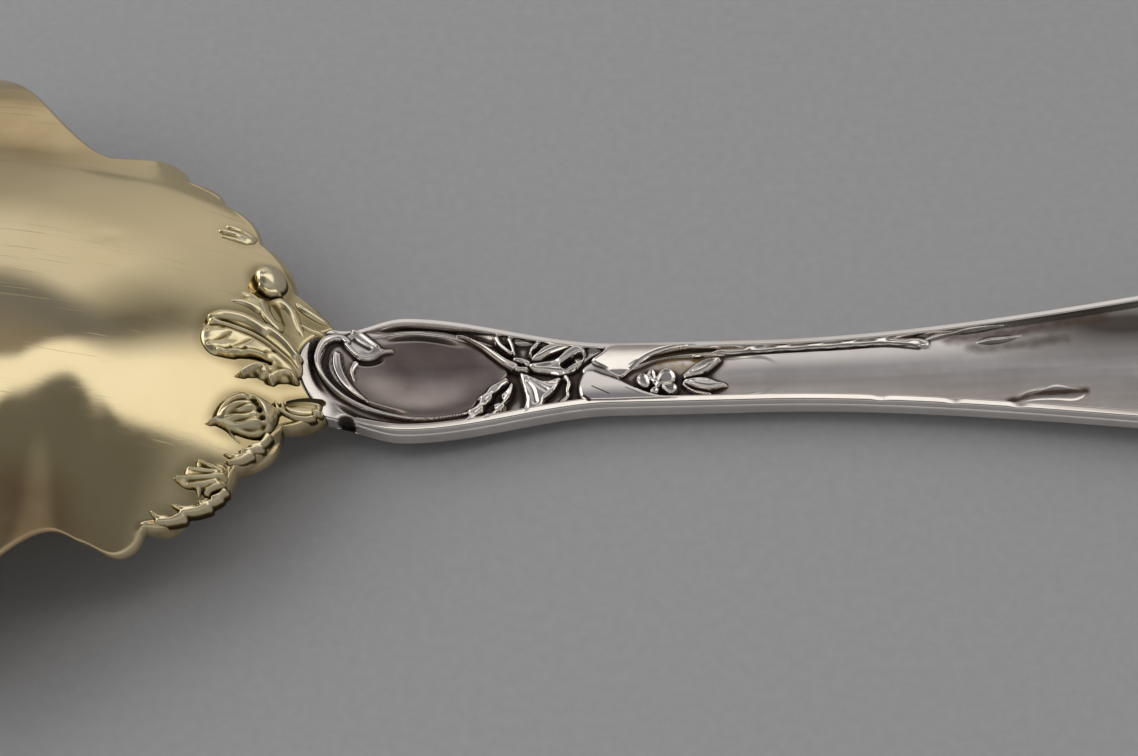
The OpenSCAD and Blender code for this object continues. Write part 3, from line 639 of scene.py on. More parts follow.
on_handle.add("fan_fold", (18.6, 24.9, -5.4, 0.8), highest(fan, finger([
    (23.9, -0.4), (24.25, -1.1), (24.1, -2), (24.15, -2.7), (23.5, -3.4), (23.1, -4)], 0.26, 0.2, 0.45)))
loop_top = tilted(plate([
    (20.3, 2), (20.9, 2.8), (21.7, 3.5), (22.6, 3.75), (24, 3.6), (24.6, 3.4), (23.3, 2.95), (22.2, 2.5),
    (21.2, 1.9)], 0.55, 0.4), 0.25, 2.8)
on_handle.add("upper_loop", (16.2, 24.8, 1.8, 4.8), union(0.05, loop_top, lobes([
    ([(16.7, 4.4), (17.1, 3.6), (18.1, 2.6)], 0.4, 0.22, 0.7),
    ([(18, 4.3), (18.3, 3.5), (18.6, 2.4)], 0.34, 0.2, 0.65),
    ([(20.2, 2.4), (20.4, 3.1), (20.9, 3.7)], 0.16, 0.3, 0.65)], 0.6, 0.0, 0.05)))


def lower_loop(x, y):
    """Loop with a hole through it."""
    flat = plate([
        (20, 1.2), (21.6, 1.5), (22.8, 1.8), (23.9, 2.95), (25, 3.5), (25.9, 2.8), (25.7, 1.7),
        (24.8, 0.55), (23.5, 0.05), (22, 0.2), (20.4, 0.5)], 0.65, 0.45)
    fold = cut([(20.6, 0.9), (22, 1), (23.2, 1.5)], 0.14, 0.25)
    hole = finger([(23.8, 0.95), (24.6, 1.55), (25.2, 2)], 0.34, 0.34, 1.0)(x, y)
    h = tilted(flat, 0.16, 1.6)(x, y) + fold(x, y) * (flat(x, y) > 0)
    return np.minimum(h, np.where(hole > -0.3, -hole, h))


def far_band(x, y):
    h = plate([
        (26.4, 1.7), (27.4, 2.5), (28.5, 3.35), (31, 3.4), (34, 3.35), (38, 3.3), (39.5, 3.2), (36, 2.9),
        (33, 2.1), (31.3, 1.1), (30.2, 0.2), (29.3, -0.4), (27.8, 0.55), (26.8, 1.1)], 0.45, 0.35)(x, y)
    h = np.where(h > 0, np.maximum(h + 0.33 * (y - 1.7), 0.1 * h), h)
    for k in range(3):
        nick = np.array([(30.2, 0.8), (31.2, 1.5)]) + k * np.array([1.1, 0.5])
        h = h + cut(nick, 0.05, 0.06)(x, y)
    return h


on_handle.add("lower_loop", (19.8, 26.4, -0.4, 4), lower_loop)
on_handle.add("far_band", (25.8, 40.2, -0.9, 3.9), far_band)
on_handle.add("near_band", (24.6, 41.6, -4.1, 1.1), tilted(plate([
    (25.7, 0.4), (26.6, 0.6), (27.7, 0.05), (29.3, -0.7), (30.8, -1.6), (32.2, -2.3), (33.6, -2.75),
    (35.2, -3), (38, -3.15), (41, -3.2), (38, -3.45), (31, -3.6), (27, -3.65), (26, -3.6), (25.3, -2.7),
    (25.2, -1.1)], 0.45, 0.4), -0.16, -1.5))

# Flower and its two leaves
PETALS = [
    [(31.2, -1.4), (31.1, -0.6), (31.7, -0.2), (32.3, -0.6), (32.5, -1.5), (32, -1.9)],
    [(32.1, -0.3), (32.5, 0.3), (33, 0), (33.1, -1), (32.9, -1.6), (32.5, -1.1)],
    [(33.1, -1.5), (33.2, -0.4), (33.8, 0.3), (34.7, 0.1), (35.1, -0.8), (34.5, -1.5)],
    [(33.5, -1.8), (34.4, -1.5), (35.1, -1.6), (35.2, -2.3), (34.4, -2.6)],
    [(32.4, -2.2), (32.9, -1.8), (33.4, -2.1), (33.2, -2.6), (32.6, -2.6)]]
on_handle.add("flower", (30.8, 35.7, -3, 0.8), highest(
    *[cup(petal, 0.6, 0.17, 0.3) for petal in PETALS],
    finger([(33.1, -1.65), (33.3, -1.65)], 0.22, 0.22, 0.5)))
on_handle.add("far_leaf", (35.1, 40.2, -1.2, 2.1), highest(cup([
    (35.7, -0.7), (36.5, 0.3), (37.4, 1.05), (38.5, 1.5), (39.6, 1.5), (38.9, 0.6), (37.9, -0.25),
    (36.8, -0.6)], 0.58, 0.17, 0.34), finger([(36, -0.5), (37.5, 0.4), (39.2, 1.3)], 0.1, 0.06, 0.4)))
near_blade = carved(
    plate([
        (35.7, -1.1), (36.8, -0.75), (38, -0.75), (39, -1.15), (40.2, -1.6), (39.4, -1.95), (38.5, -2.2),
        (37.4, -2), (36.7, -1.7)], 0.62, 0.5),
    cut([(36, -1.15), (37.8, -1.35), (39.7, -1.6)], 0.08, 0.16))
on_handle.add("near_leaf", (35.1, 40.8, -3.1, -0.2), highest(
    near_blade, finger([(35.7, -1.4), (36.6, -2.1), (37.5, -2.4), (38.5, -2.6)], 0.1, 0.1, 0.35)))

# Running border and its leaves
VINE = [(36.8, 2.15), (40.2, 2.55), (44, 2.95), (49.3, 3.2), (54.4, 3.4), (57, 3.35), (60, 2.75)]
VINE_BEADS = 22
VINE_H = 0.34


def vine(x, y):
    d, t, left = along(x, y, curve(VINE, 8))
    bead = np.sin(t * VINE_BEADS + 0.5 * np.sign(left)) ** 2
    r = mix(0.2, 0.68, ease(t / 0.3)) - 0.2 * bead
    top = VINE_H * np.clip(1 - (d / r) ** 2, 0, 1) ** 0.5 - 0.16 * bead
    return np.where(d < r, np.maximum(top, 0.03), FALL * (r - d))


on_handle.add("vine", (36.2, 60.8, 1.4, 4.3), vine, 0.12)
on_handle.add("far_border_leaf", (59, 71.4, 1.4, 5.8), union(
    0.1, plate([(59.6, 2.9), (60.6, 3.8), (62.8, 4.4), (63.4, 4), (61.8, 3.3)], 0.5, 0.6),
    plate([(62.6, 3.9), (64.2, 4.9), (67.5, 5.2), (68.8, 4.8), (66.2, 4.1), (64.2, 3.8)], 0.5, 0.6),
    plate([(64.6, 2.5), (66.4, 3.3), (68.2, 3.4), (70.8, 3.7), (69.2, 2.8), (67, 2.3)], 0.45, 0.6)), 0.3)
on_handle.add("near_border_leaf", (67, 77.4, -6.6, -1.2), carved(plate([
    (67.6, -5), (69.2, -3.6), (70.7, -3.1), (71.8, -2.6), (73, -2.4), (75.4, -3.2), (76.4, -3.6),
    (75, -5.2), (73, -5.1), (71, -5)], 0.17, 1.8),
    cut([(67.8, -4.8), (69.1, -4.3), (70.6, -3.8), (72.9, -3.9), (75.3, -3.7)], 0.35, 0.2)), 0.45)
on_handle.shade([
    ([(36.8, 1.7), (40.1, 1.95), (44.1, 2.2), (48, 2.35), (51.8, 2.45), (56, 2.6), (59.5, 2.1)], 0.13, 0.8),
    ([(37.3, 2.8), (41.7, 3.2), (46.7, 3.7), (51.9, 4.05), (57, 4.05), (60, 3.5)], 0.14, 0.8),
    ([(1.8, 4.4), (3, 3.4), (4.6, 2.6)], 0.9, 0.2),
    ([(26.6, -1.7), (28.4, -2.7)], 0.07, 0.5), ([(25.8, -2.9), (26.4, -3.4)], 0.12, 1.0),
    ([(30, -1.9), (31.4, -2.7)], 0.06, 0.4),
    ([(62.6, 3.3), (65.9, 3.5), (68.7, 3.7), (72.3, 4.3), (78, 5.1)], 0.9, 0.3),
    ([(64.6, 1.9), (67.6, 1.9), (70, 2.2), (74, 2.7)], 0.8, 0.25),
    ([(67.9, -4.6), (70.6, -3.8), (72.9, -3.8), (75.6, -3.7)], 0.5, 0.4)])


# Meshes
SINK = 0.12
ROOT_DEPTH = 0.3
SHARP = math.radians(60)


def make(name, verts, faces, material, slot, node, **marks):
    """Piece that replaces a node, with its patina, painted shade and painted highlights as marks on the
    points.
    """
    mesh = bpy.data.meshes.new(name)
    places = (np.asarray(verts, float) + [NECK_X, 0, 0]) * MM
    mesh.from_pydata(places.tolist(), [], faces)
    for key, values in marks.items():
        mesh.attributes.new(key, "FLOAT", "POINT").data.foreach_set("value", np.asarray(values, np.float32))
    mesh.polygons.foreach_set("use_smooth", [True] * len(mesh.polygons))
    mesh.set_sharp_from_angle(angle=SHARP)
    mesh.materials.append(material)
    obj = bpy.data.objects.new(name, mesh)
    bpy.context.scene.collection.objects.link(obj)
    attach(obj, "root")
    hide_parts(node)


def ring_faces(count, n):
    """Quads between neighbouring closed rings of n points, and a cap at each end."""
    ids = np.arange(count * n).reshape(count, n)
    turned = np.roll(ids, -1, axis=1)
    quads = np.stack([ids[:-1], turned[:-1], turned[1:], ids[1:]], -1).reshape(-1, 4)
    return quads.tolist() + [ids[0][::-1].tolist(), ids[-1].tolist()]


def relief_piece(field, name, material, slot):
    """Closed mesh of one piece: its height map, a root under it and walls round both."""
    rows, cols, h = field.pieces[name]
    x, y = field.x[rows, cols], field.y[rows, cols]
    base = field.base[rows, cols]
    up = h > base - SINK
    keep = up[:-1, :-1] | up[1:, :-1] | up[:-1, 1:] | up[1:, 1:]
    ids = np.arange(h.size).reshape(h.shape)
    quad = np.stack([ids[:-1, :-1], ids[1:, :-1], ids[1:, 1:], ids[:-1, 1:]], -1)[keep]
    used, quad = np.unique(quad, return_inverse=True)
    quad = quad.reshape(-1, 4)
    count = len(used)
    under = ground(x, y)
    top = under + np.maximum(h, base - 2 * SINK)
    low = under + base - ROOT_DEPTH
    verts = np.concatenate([np.stack([a.ravel()[used] for a in (x, y, z)], -1) for z in (top, low)])
    edges = np.concatenate([quad[:, [k, (k + 1) % 4]] for k in range(4)])
    code = edges[:, 0] * (count + 1) + edges[:, 1]
    back = edges[:, 1] * (count + 1) + edges[:, 0]
    rim = edges[~np.isin(code, back)]
    walls = np.stack([rim[:, 1], rim[:, 0], rim[:, 0] + count, rim[:, 1] + count], -1)
    faces = np.concatenate([quad, quad[:, ::-1] + count, walls]).tolist()
    cavity, deep = (np.tile(marks[rows, cols].ravel()[used], 2) for marks in (field.cavity, field.deep))
    make(name + "_relief", verts, faces, material, slot, name, cavity=cavity, deep=deep)


# Outline of the bowl, with its scallops. Cusps are shares of the heel's length and of the lobe's width.
CUSPS = [(0.324, 0.85), (0.245, 0.715), (0.157, 0.45), (0.078, 0.15), (0, 0)]
LAST_BULGE = 0.35


def bowl_half():
    turn = np.linspace(0, math.pi / 2, 71)[:-1]
    lip = np.stack([-HEEL_LEN - FRONT_LEN * np.cos(turn), WING_Y * np.sin(turn)], -1)
    cusps = [np.array([-c * HEEL_LEN, mix(NECK_Y, LOBE_Y, s)]) for c, s in CUSPS]
    wing = curve([
        (-HEEL_LEN, WING_Y), (-0.84 * HEEL_LEN, 0.97 * WING_Y), (-0.72 * HEEL_LEN, 0.88 * WING_Y),
        (-0.585 * HEEL_LEN, mix(NOTCH_Y, WING_Y, 0.2)), (-0.505 * HEEL_LEN, NOTCH_Y),
        (-0.445 * HEEL_LEN, mix(NOTCH_Y, LOBE_Y, 0.35)), (-0.385 * HEEL_LEN, LOBE_Y),
        (-0.345 * HEEL_LEN, 0.96 * LOBE_Y), tuple(cusps[0])], 16)
    scallops = []
    for a, b in zip(cusps, cusps[1:]):
        d = b - a
        t = (np.arange(1, 35) / 34)[:, None]
        bulge = SCALLOP_BULGE * (LAST_BULGE if b[0] == 0 else 1)
        scallops.append(mix(a, b, t) + np.array([-d[1], d[0]]) / np.hypot(*d) * bulge * 4 * t * (1 - t))
    y = NECK_Y * (1 - np.arange(1, 17) / 16)
    return np.concatenate([lip, wing, *scallops, np.stack([joint_x(y), y], -1)])


def bowl_outline():
    half = bowl_half()
    return np.concatenate([half[::-1], half[1:-1] * [1, -1]])


# Line on the near shoulder where the plain surface steps down to the scallops
SHOULDER = [
    (-0.4, -5.7), (-2.3, -7.6), (-3.6, -8.6), (-4.5, -9.9), (-5.4, -11.6), (-6.4, -12.9), (-7.4, -13.9),
    (-7.9, -15.4), (-8.5, -16.7), (-9.5, -17.8), (-10.8, -18.9), (-12, -19.9), (-13.6, -20.8),
    (-15.4, -21.4)]
STEP, STEP_LIP, STEP_END = 0.36, 0.24, -18
FAR_STEP = 0.15
FLUTE_X, FLUTE_W = -22.8, 3.0
FLUTE_D, FLUTE_Y, FLUTE_RUN = 1.15, 3.5, 15
FAR_FLUTE_D, FAR_FLUTE_Y, FAR_FLUTE_RUN = 0.2, 9, 14
DENT_D, WAVE_D = 0.05, 0.012


def bowl_waves(x, y):
    """Flutes that run in from the notches, and shallow dents."""
    near = FLUTE_D * ease((-y - FLUTE_Y) / FLUTE_RUN)
    depth = np.where(y < 0, near, FAR_FLUTE_D * ease((y - FAR_FLUTE_Y) / FAR_FLUTE_RUN))
    flute = -depth * np.exp(-((x - FLUTE_X) / np.where(x < FLUTE_X, 1.2 * FLUTE_W, FLUTE_W)) ** 2)
    waves = WAVE_D * (np.sin(x * 0.5 + 0.5) * np.cos(y * 0.4 + 0.3) - 1)
    return flute + (waves - DENT_D * bump(x, y, -21, 8.5, 1.4, 0.8, 20)) * ease((-x - 10) / 12)


def shoulder_step(x, y):
    """Height of the step at the scallops, and how close a place is to its corner, where shade is painted
    dark.
    """
    out = along(x, -np.abs(y), curve(SHOULDER, 5))[2]
    near = ease((x + 16.5) / 1.5) * ease((np.abs(y) - 5) / 1.5) * np.where(y < 0, 1, FAR_STEP)
    lip = STEP_LIP * np.exp(-((out + 0.4) / 0.25) ** 2)
    return near * (lip - STEP * ease(out / 0.3 + 0.4)), 0.7 * near * np.exp(-((out - 0.1) / 0.14) ** 2)


# Rings of the bowl, as shares of the way from its middle to its outline
BACK_RINGS = np.concatenate([
    np.linspace(0.02, 0.6, 40), np.linspace(0.61, 0.9, 44), np.linspace(0.904, 1, 34)])
FRONT_RINGS = np.linspace(1, 0.02, 40)
RIM_ROUND = 0.16
THIN_RIM = 0.3
RIM_SHADE = 0.6
TARNISH_SHADE_BLUR = 4


def bowl(material):
    outline = bowl_outline()
    middle = np.array([-0.84 * HEEL_LEN, 0.0])

    def sheet(shares):
        p = middle + shares[:, None, None] * (outline - middle)
        return p[..., 0], p[..., 1], shares[:, None]

    x, y, share = sheet(BACK_RINGS)
    step, corner = np.zeros(x.shape), np.zeros(x.shape)
    near = (x > STEP_END) & (share > 0.5)
    step[near], corner[near] = shoulder_step(x[near], y[near])
    edge = RIM_ROUND * np.clip(1 - (1 - share) / 0.01, 0, 1) ** 2
    top = np.minimum(bowl_back(x, y) + bowl_waves(x, y) + step - edge, BOWL_CROWN)
    xu, yu, share_u = sheet(FRONT_RINGS)
    thin = mix(1.0, THIN_RIM, ease((-xu - 15) / 6) * ease((share_u - 0.9) / 0.1))
    low = bowl_back(xu, yu) + bowl_waves(xu, yu) - bowl_wall(xu, yu) * thin
    rings = np.concatenate([np.stack([x, y, top], -1), np.stack([xu, yu, np.maximum(low, 0)], -1)])
    faces = [face[::-1] for face in ring_faces(len(rings), len(outline))]
    mapped = (x > on_bowl.gx[0]) & (y > on_bowl.gy[0]) & (y < on_bowl.gy[-1])
    # Shell's marks: tarnish and painted shade round the foot of the relief, and painted shade in the step's
    # corner.
    shade = on_bowl.sample(blur(on_bowl.deep, TARNISH_SHADE_BLUR), x, y) * mapped
    # Painted shade under the rim's edge, on the front rings next to the outline.
    rim_shade = RIM_SHADE * ease((share_u - 0.95) / 0.04) * (xu > -HEEL_LEN)
    deep = np.concatenate([np.maximum(shade, corner), rim_shade]).reshape(-1)
    make("bowl_shell", rings.reshape(-1, 3), faces, material, "gilt_bowl", "bowl", deep=deep)


# Handle: points across its back and front, rows of its walls, and the pit in the near wall at the neck
ACROSS = np.linspace(1, -1, 129)
UNDER = np.linspace(-1, 1, 33)
WALL_ROWS = np.linspace(0.04, 0.96, 17)
FINE_END = 45
LIP_D, LIP_SHARE = 0.25, 0.955
NECK_BEND = 5
PIT_X, PIT_D, PIT_SHARE = 2.0, 1.2, 0.36
PIT_RX, PIT_RZ = 0.62, 1.0
NOTCH_D, NOTCH_RX, NOTCH_RY = 0.7, 0.6, 0.5
PIT_SHADE = 6


def handle(material):
    tip = TERMINAL_X + TERMINAL_LEN * np.sin(np.linspace(0, math.pi / 2, 40)[:-1])
    stations = np.concatenate([
        np.arange(0, FINE_END, 0.12), np.arange(FINE_END, MAP_END, 0.22),
        np.arange(MAP_END, TERMINAL_X, 0.9), tip, [HANDLE_LEN - 0.01]])
    half = half_w(stations)[:, None]

    def bent(y):
        x = stations[:, None] + 0 * y
        return x + (joint_x(y) + SEAM) * (1 - ease(x / NECK_BEND))

    y = ACROSS * half
    x = bent(y)
    at_edge = np.clip((np.abs(ACROSS) - LIP_SHARE) / (1 - LIP_SHARE), 0, 1)
    lip = LIP_D * at_edge ** 2 * np.minimum(1, half / 4)
    notch = bump(x, y, PIT_X, -half_w(PIT_X), NOTCH_RX, NOTCH_RY)
    carving = on_handle.sample(on_handle.base, x, y) * (x < MAP_END)
    top = handle_back(x, y) + carving - lip - NOTCH_D * notch
    yu = UNDER * half
    xu = bent(yu)
    low = handle_front(xu, yu)

    def wall(column, end, shares):
        z = mix(top[:, column, None], low[:, end, None], shares)
        return np.stack([x[:, column, None] + 0 * z, y[:, column, None] + 0 * z, z], -1)

    near_wall, far_wall = wall(-1, 0, WALL_ROWS), wall(0, -1, WALL_ROWS[::-1])
    pit_z = mix(top[:, -1], low[:, 0], PIT_SHARE)[:, None]
    pit = bump(near_wall[..., 0], near_wall[..., 2], PIT_X, pit_z, PIT_RX, PIT_RZ)
    near_wall[..., 1] += PIT_D * pit
    rings = np.concatenate([np.stack([x, y, top], -1), near_wall, np.stack([xu, yu, low], -1), far_wall], 1)
    mapped, pits = np.zeros(rings.shape[:2]), np.zeros(rings.shape[:2])
    mapped[:, :len(ACROSS)] = (1 - ease((np.abs(ACROSS) - 0.88) / 0.06)) * (x < MAP_END - 1)
    # Painted shade: the notch and the pit get a strong mark that paints them black inside.
    pits[:, :len(ACROSS) + len(WALL_ROWS)] = PIT_SHADE * np.concatenate([notch, pit], 1)
    cavity = on_handle.sample(on_handle.cavity, rings[..., 0], rings[..., 1]) * mapped
    deep = on_handle.sample(on_handle.deep, rings[..., 0], rings[..., 1]) * mapped + pits
    faces = ring_faces(*rings.shape[:2])
    make("handle_bar", rings.reshape(-1, 3), faces, material, "silver_handle", "handle",
         cavity=cavity.reshape(-1), deep=deep.reshape(-1))


# Rails: where the near and the far one start and rise, worn places of the near one, and their section
RAIL_STARTS = {-1: 2.9, 1: 1.6}
RAIL_RISE_X, RAIL_RISE = 0.8, 6
RAIL_WORN, WORN_D, WORN_W = (55.2, 62.3, 68.6), 0.3, 0.7
RAIL_SECTION = np.linspace(1, -1, 21)
RAIL_SQUARE = 8
RAIL_ROOT = 0.4
RAIL_BRIGHT = -0.5


def rail(side, name, material):
    inset = RAIL_INSET + RAIL_W / 2
    xs = np.concatenate([np.arange(RAIL_STARTS[side], TERMINAL_X, 0.35), [TERMINAL_X]])
    turn = np.radians(np.linspace(3, 90, 42))
    px = np.concatenate([xs, TERMINAL_X + (TERMINAL_LEN - inset) * np.sin(turn)])
    py = np.concatenate([half_w(xs) - inset, (TERMINAL_W / 2 - inset) * np.cos(turn)])
    path = np.stack([px, side * py], -1)
    tangent = np.gradient(path, axis=0)
    tangent /= np.linalg.norm(tangent, axis=1)[:, None]
    off = np.stack([-tangent[:, 1], tangent[:, 0]], -1)
    size = ease((px - RAIL_RISE_X) / RAIL_RISE)
    if side < 0:
        for place in RAIL_WORN:
            size = size * (1 - WORN_D * np.exp(-((px - place) / WORN_W) ** 2))
    u = RAIL_SECTION
    h = RAIL_H * (1 - 0.05 * (1 + side * u)) * (1 - np.abs(u) ** RAIL_SQUARE) ** 0.5
    u = u * RAIL_W / 2 * 1.05
    q = path[:, None, :] + off[:, None, :] * (u * (0.6 + 0.4 * size[:, None]))[..., None]
    base = handle_back(q[..., 0], q[..., 1])
    top = base - 0.05 + h * size[:, None]
    rings = np.concatenate([np.concatenate([q, top[..., None]], -1),
                            np.concatenate([q[:, ::-1], (base[:, ::-1] - RAIL_ROOT)[..., None]], -1)], 1)
    flat = rings.reshape(-1, 3)
    zero = np.zeros(len(flat))
    make(name + "_wire", flat, ring_faces(*rings.shape[:2]), material, "silver_bright", name,
         cavity=zero, deep=zero + RAIL_BRIGHT)


# Materials
class Nodes:
    """Short calls for building the nodes of a material or a world."""

    def __init__(self, owner, shader="Principled BSDF"):
        owner.use_nodes = True
        self.owner = owner
        self.tree = owner.node_tree
        self.shader = self.tree.nodes[shader]

    def add(self, kind, inputs=(), **settings):
        node = self.tree.nodes.new("ShaderNode" + kind)
        for key, value in settings.items():
            setattr(node, key, value)
        for key, value in dict(inputs).items():
            self.link(value, node.inputs[key])
        return node

    def link(self, value, socket):
        if isinstance(value, bpy.types.NodeSocket):
            self.tree.links.new(value, socket)
        else:
            socket.default_value = value

    def math(self, operation, a, b):
        return self.add("Math", {0: a, 1: b}, operation=operation).outputs[0]

    def times(self, a, b):
        return self.math("MULTIPLY", a, b)

    def plus(self, a, b):
        return self.math("ADD", a, b)

    def range(self, value, low, high, to_low=0.0, to_high=1.0, kind="LINEAR"):
        inputs = {0: value, 1: low, 2: high, 3: to_low, 4: to_high}
        return self.add("MapRange", inputs, interpolation_type=kind).outputs[0]

    def mix(self, factor, a, b):
        return self.add("Mix", {0: factor, 6: a, 7: b}, data_type="RGBA").outputs[2]

    def tint(self, colour, mask, strength=1.0):
        """Lay a colour over the colour so far."""
        self.colour = self.mix(self.times(mask, strength), self.colour, colour)

    def mark(self, name):
        return self.add("Attribute", attribute_name=name).outputs["Fac"]

    def noise(self, scale, detail, stretch=(1, 1, 1), turn=0.0):
        place = self.add("TexCoord").outputs["Object"]
        spin = self.add("Mapping", {0: place, 2: (0, 0, math.radians(turn)), 3: stretch}).outputs[0]
        return self.add("TexNoise", {"Vector": spin, "Scale": scale, "Detail": detail}).outputs["Fac"]

    def bump(self, height, strength, distance, **normal):
        inputs = {"Height": height, "Strength": strength, "Distance": distance, **normal}
        return self.add("Bump", inputs).outputs["Normal"]

    def place_mask(self, cx, cy, rx, ry):
        """Soft round mask at a place of the plan, in millimetres from the neck joint."""
        middle = ((cx + NECK_X) * MM, cy * MM, 0)
        scale = (1 / (rx * MM), 1 / (ry * MM), 0)
        place = self.add("TexCoord").outputs["Object"]
        moved = self.add("VectorMath", {0: place, 1: middle}, operation="SUBTRACT").outputs[0]
        scaled = self.add("VectorMath", {0: moved, 1: scale}, operation="MULTIPLY").outputs[0]
        size = self.add("VectorMath", {0: scaled}, operation="LENGTH").outputs["Value"]
        return self.range(size, 1.2, 0.2)

    def done(self, **inputs):
        for key, value in inputs.items():
            self.link(value, self.shader.inputs[key.replace("_", " ")])
        return self.owner


def rgb(r, g, b):
    """Linear colour of an sRGB colour written 0 to 255."""
    return tuple(((c / 255 + 0.055) / 1.055) ** 2.4 for c in (r, g, b)) + (1.0,)


PALE_GOLD = rgb(227, 210, 170)
SOFT_GOLD = rgb(219, 202, 158)
DEEP_GOLD = rgb(206, 188, 138)
CREST_HIGHLIGHT_GOLD = rgb(244, 232, 200)
TARNISH = rgb(164, 138, 96)
BROWN_GOLD = rgb(116, 98, 60)
DARK_GOLD = rgb(54, 45, 30)
RED_BROWN = rgb(176, 134, 98)
SILVER_LIGHT = rgb(238, 233, 228)
SILVER_SOFT = rgb(230, 223, 217)
SILVER_WARM = rgb(206, 194, 182)
OXIDE = rgb(46, 40, 37)
BROWN_OXIDE = rgb(88, 72, 62)
YELLOW_OXIDE = rgb(176, 146, 88)
FIELD_GREY = rgb(126, 112, 107)
END_GREY = rgb(72, 64, 59)
PIT_BLACK = rgb(14, 13, 13)
FLOOR_LIGHT = rgb(174, 174, 177)
FLOOR_DARK = rgb(168, 168, 171)

# Hairline scratches of the bowl: the directions in degrees, each with its noise scale
HAIRLINES = ((14, 4400), (-38, 3600), (62, 3300), (100, 4800))


def gilt_bowl():
    m = Nodes(bpy.data.materials.new("gilt_bowl"))
    cloud = m.noise(70, 5)
    blotch = m.noise(160, 6)
    scratch = m.noise(900, 3, (0.05, 1, 1), 12)
    fine = m.noise(2600, 2, (0.06, 1, 1), 8)
    deep = m.mark("deep")
    m.colour = m.mix(m.range(cloud, 0.35, 0.7), PALE_GOLD, SOFT_GOLD)
    m.tint(DEEP_GOLD, m.range(blotch, 0.55, 0.75), 0.15)
    stain = m.times(m.place_mask(-33, 24, 11, 10), m.range(blotch, 0.3, 0.7, 0.5, 1.0))
    m.tint(TARNISH, stain, 0.75)
    # Red-brown at the near-left of the bowl: partly tarnish, partly a painted reddish reflection.
    red = m.times(m.place_mask(-27, -22, 8, 5), m.range(cloud, 0.3, 0.6))
    m.tint(RED_BROWN, red, 0.9)
    # Brown and dark where the deep mark is high: tarnish and painted shade round the relief, painted shade
    # in the slit, the step's corner and under the rim.
    m.tint(BROWN_GOLD, m.range(deep, 0.05, 0.7), 0.6)
    m.tint(DARK_GOLD, m.range(deep, 0.9, 1.4))
    rough = m.range(m.plus(scratch, m.times(fine, 0.7)), 0.6, 1.1, 0.09, 0.12)
    lines = 0.0
    for turn, scale in HAIRLINES:
        lines = m.math("MAXIMUM", lines, m.range(m.noise(scale, 1, (0.02, 1, 0.02), turn), 0.72, 0.78))
    lines = m.times(lines, m.range(m.noise(90, 3), 0.4, 0.58))
    m.tint(BROWN_GOLD, lines, 0.22)
    rough = m.plus(rough, m.times(lines, 0.12))
    normal = m.bump(lines, 0.12, 0.00003, Normal=m.bump(fine, 0.05, 0.00002))
    return m.done(Base_Color=m.colour, Metallic=1.0, Roughness=rough, Normal=normal)


def gilt_relief():
    m = Nodes(bpy.data.materials.new("gilt_relief"))
    patina_and_painted_light = m.plus(m.mark("cavity"), m.times(m.mark("deep"), 0.6))
    patina_and_painted_light = m.plus(patina_and_painted_light, m.range(m.noise(300, 5), 0.3, 0.7, -0.12, 0.12))
    # Painted highlight: crests (values below zero) are paler. Hollows go brown and dark: tarnish and painted
    # shade.
    m.colour = m.mix(m.range(patina_and_painted_light, -0.2, 0.4), CREST_HIGHLIGHT_GOLD, DEEP_GOLD)
    m.tint(BROWN_GOLD, m.range(patina_and_painted_light, 0.3, 0.9))
    m.tint(DARK_GOLD, m.range(patina_and_painted_light, 0.9, 1.5))
    normal = m.bump(m.noise(1400, 3), 0.05, 0.00003)
    rough = m.range(patina_and_painted_light, -0.3, 0.6, 0.12, 0.4)
    return m.done(Base_Color=m.colour, Metallic=1.0, Roughness=rough, Normal=normal)


def silver(name, polish, satin):
    """Silver with oxide in its hollows and painted shade in the pit at the neck. The satin of the handle
    also has its grey, warm and yellow places.
    """
    m = Nodes(bpy.data.materials.new(name))
    cloud = m.noise(220, 5)
    speck = m.noise(900, 4)
    scratch = m.noise(1600, 2, (0.02, 1, 1), 1)
    patina_and_painted_light = m.plus(m.times(m.mark("cavity"), 0.7), m.times(m.mark("deep"), 0.5))
    patina_and_painted_light = m.plus(patina_and_painted_light, m.range(speck, 0.3, 0.7, -0.06, 0.06))
    m.colour = m.mix(m.range(cloud, 0.35, 0.7), SILVER_LIGHT, SILVER_SOFT)
    if satin:
        field = m.range(m.place_mask(9.3, -0.3, 10.5, 6.2), 0.1, 0.5)
        m.tint(FIELD_GREY, field, m.range(cloud, 0.3, 0.7, 0.8, 0.95))
        m.tint(SILVER_WARM, m.place_mask(4.4, -0.9, 3, 2.4), 0.75)
        m.tint(SILVER_WARM, m.place_mask(8.5, -3.4, 6, 1.6), 0.4)
        m.tint(END_GREY, m.place_mask(80, 4.2, 16, 4.4), 0.95)
    m.tint(BROWN_OXIDE, m.range(patina_and_painted_light, 0.08, 0.45))
    m.tint(OXIDE, m.range(patina_and_painted_light, 0.5, 1.0))
    # Painted shade: only the pit and the notch at the neck reach this, and go black.
    m.tint(PIT_BLACK, m.range(patina_and_painted_light, 1.4, 2.2))
    if satin:
        gold = m.times(m.place_mask(36, 1.4, 3.4, 1.3), m.range(speck, 0.3, 0.55))
        m.tint(YELLOW_OXIDE, gold, 0.7)
    rough = m.plus(m.range(patina_and_painted_light, 0.0, 0.7, polish, 0.45), m.range(scratch, 0.35, 0.7, -0.02, 0.03))
    metal = m.range(patina_and_painted_light, 0.3, 0.9, 1.0, 0.55)
    return m.done(Base_Color=m.colour, Metallic=metal, Roughness=rough)


# Camera: the photograph's width and focal length in pixels, the camera's place and its angles in degrees
PHOTO_W = 1138
FOCAL_PX = 2600
CAMERA = (44.62, -149.22, 219.25)
LOOK_DOWN, LOOK_YAW, LOOK_ROLL = 55.17, -7.80, -7.86


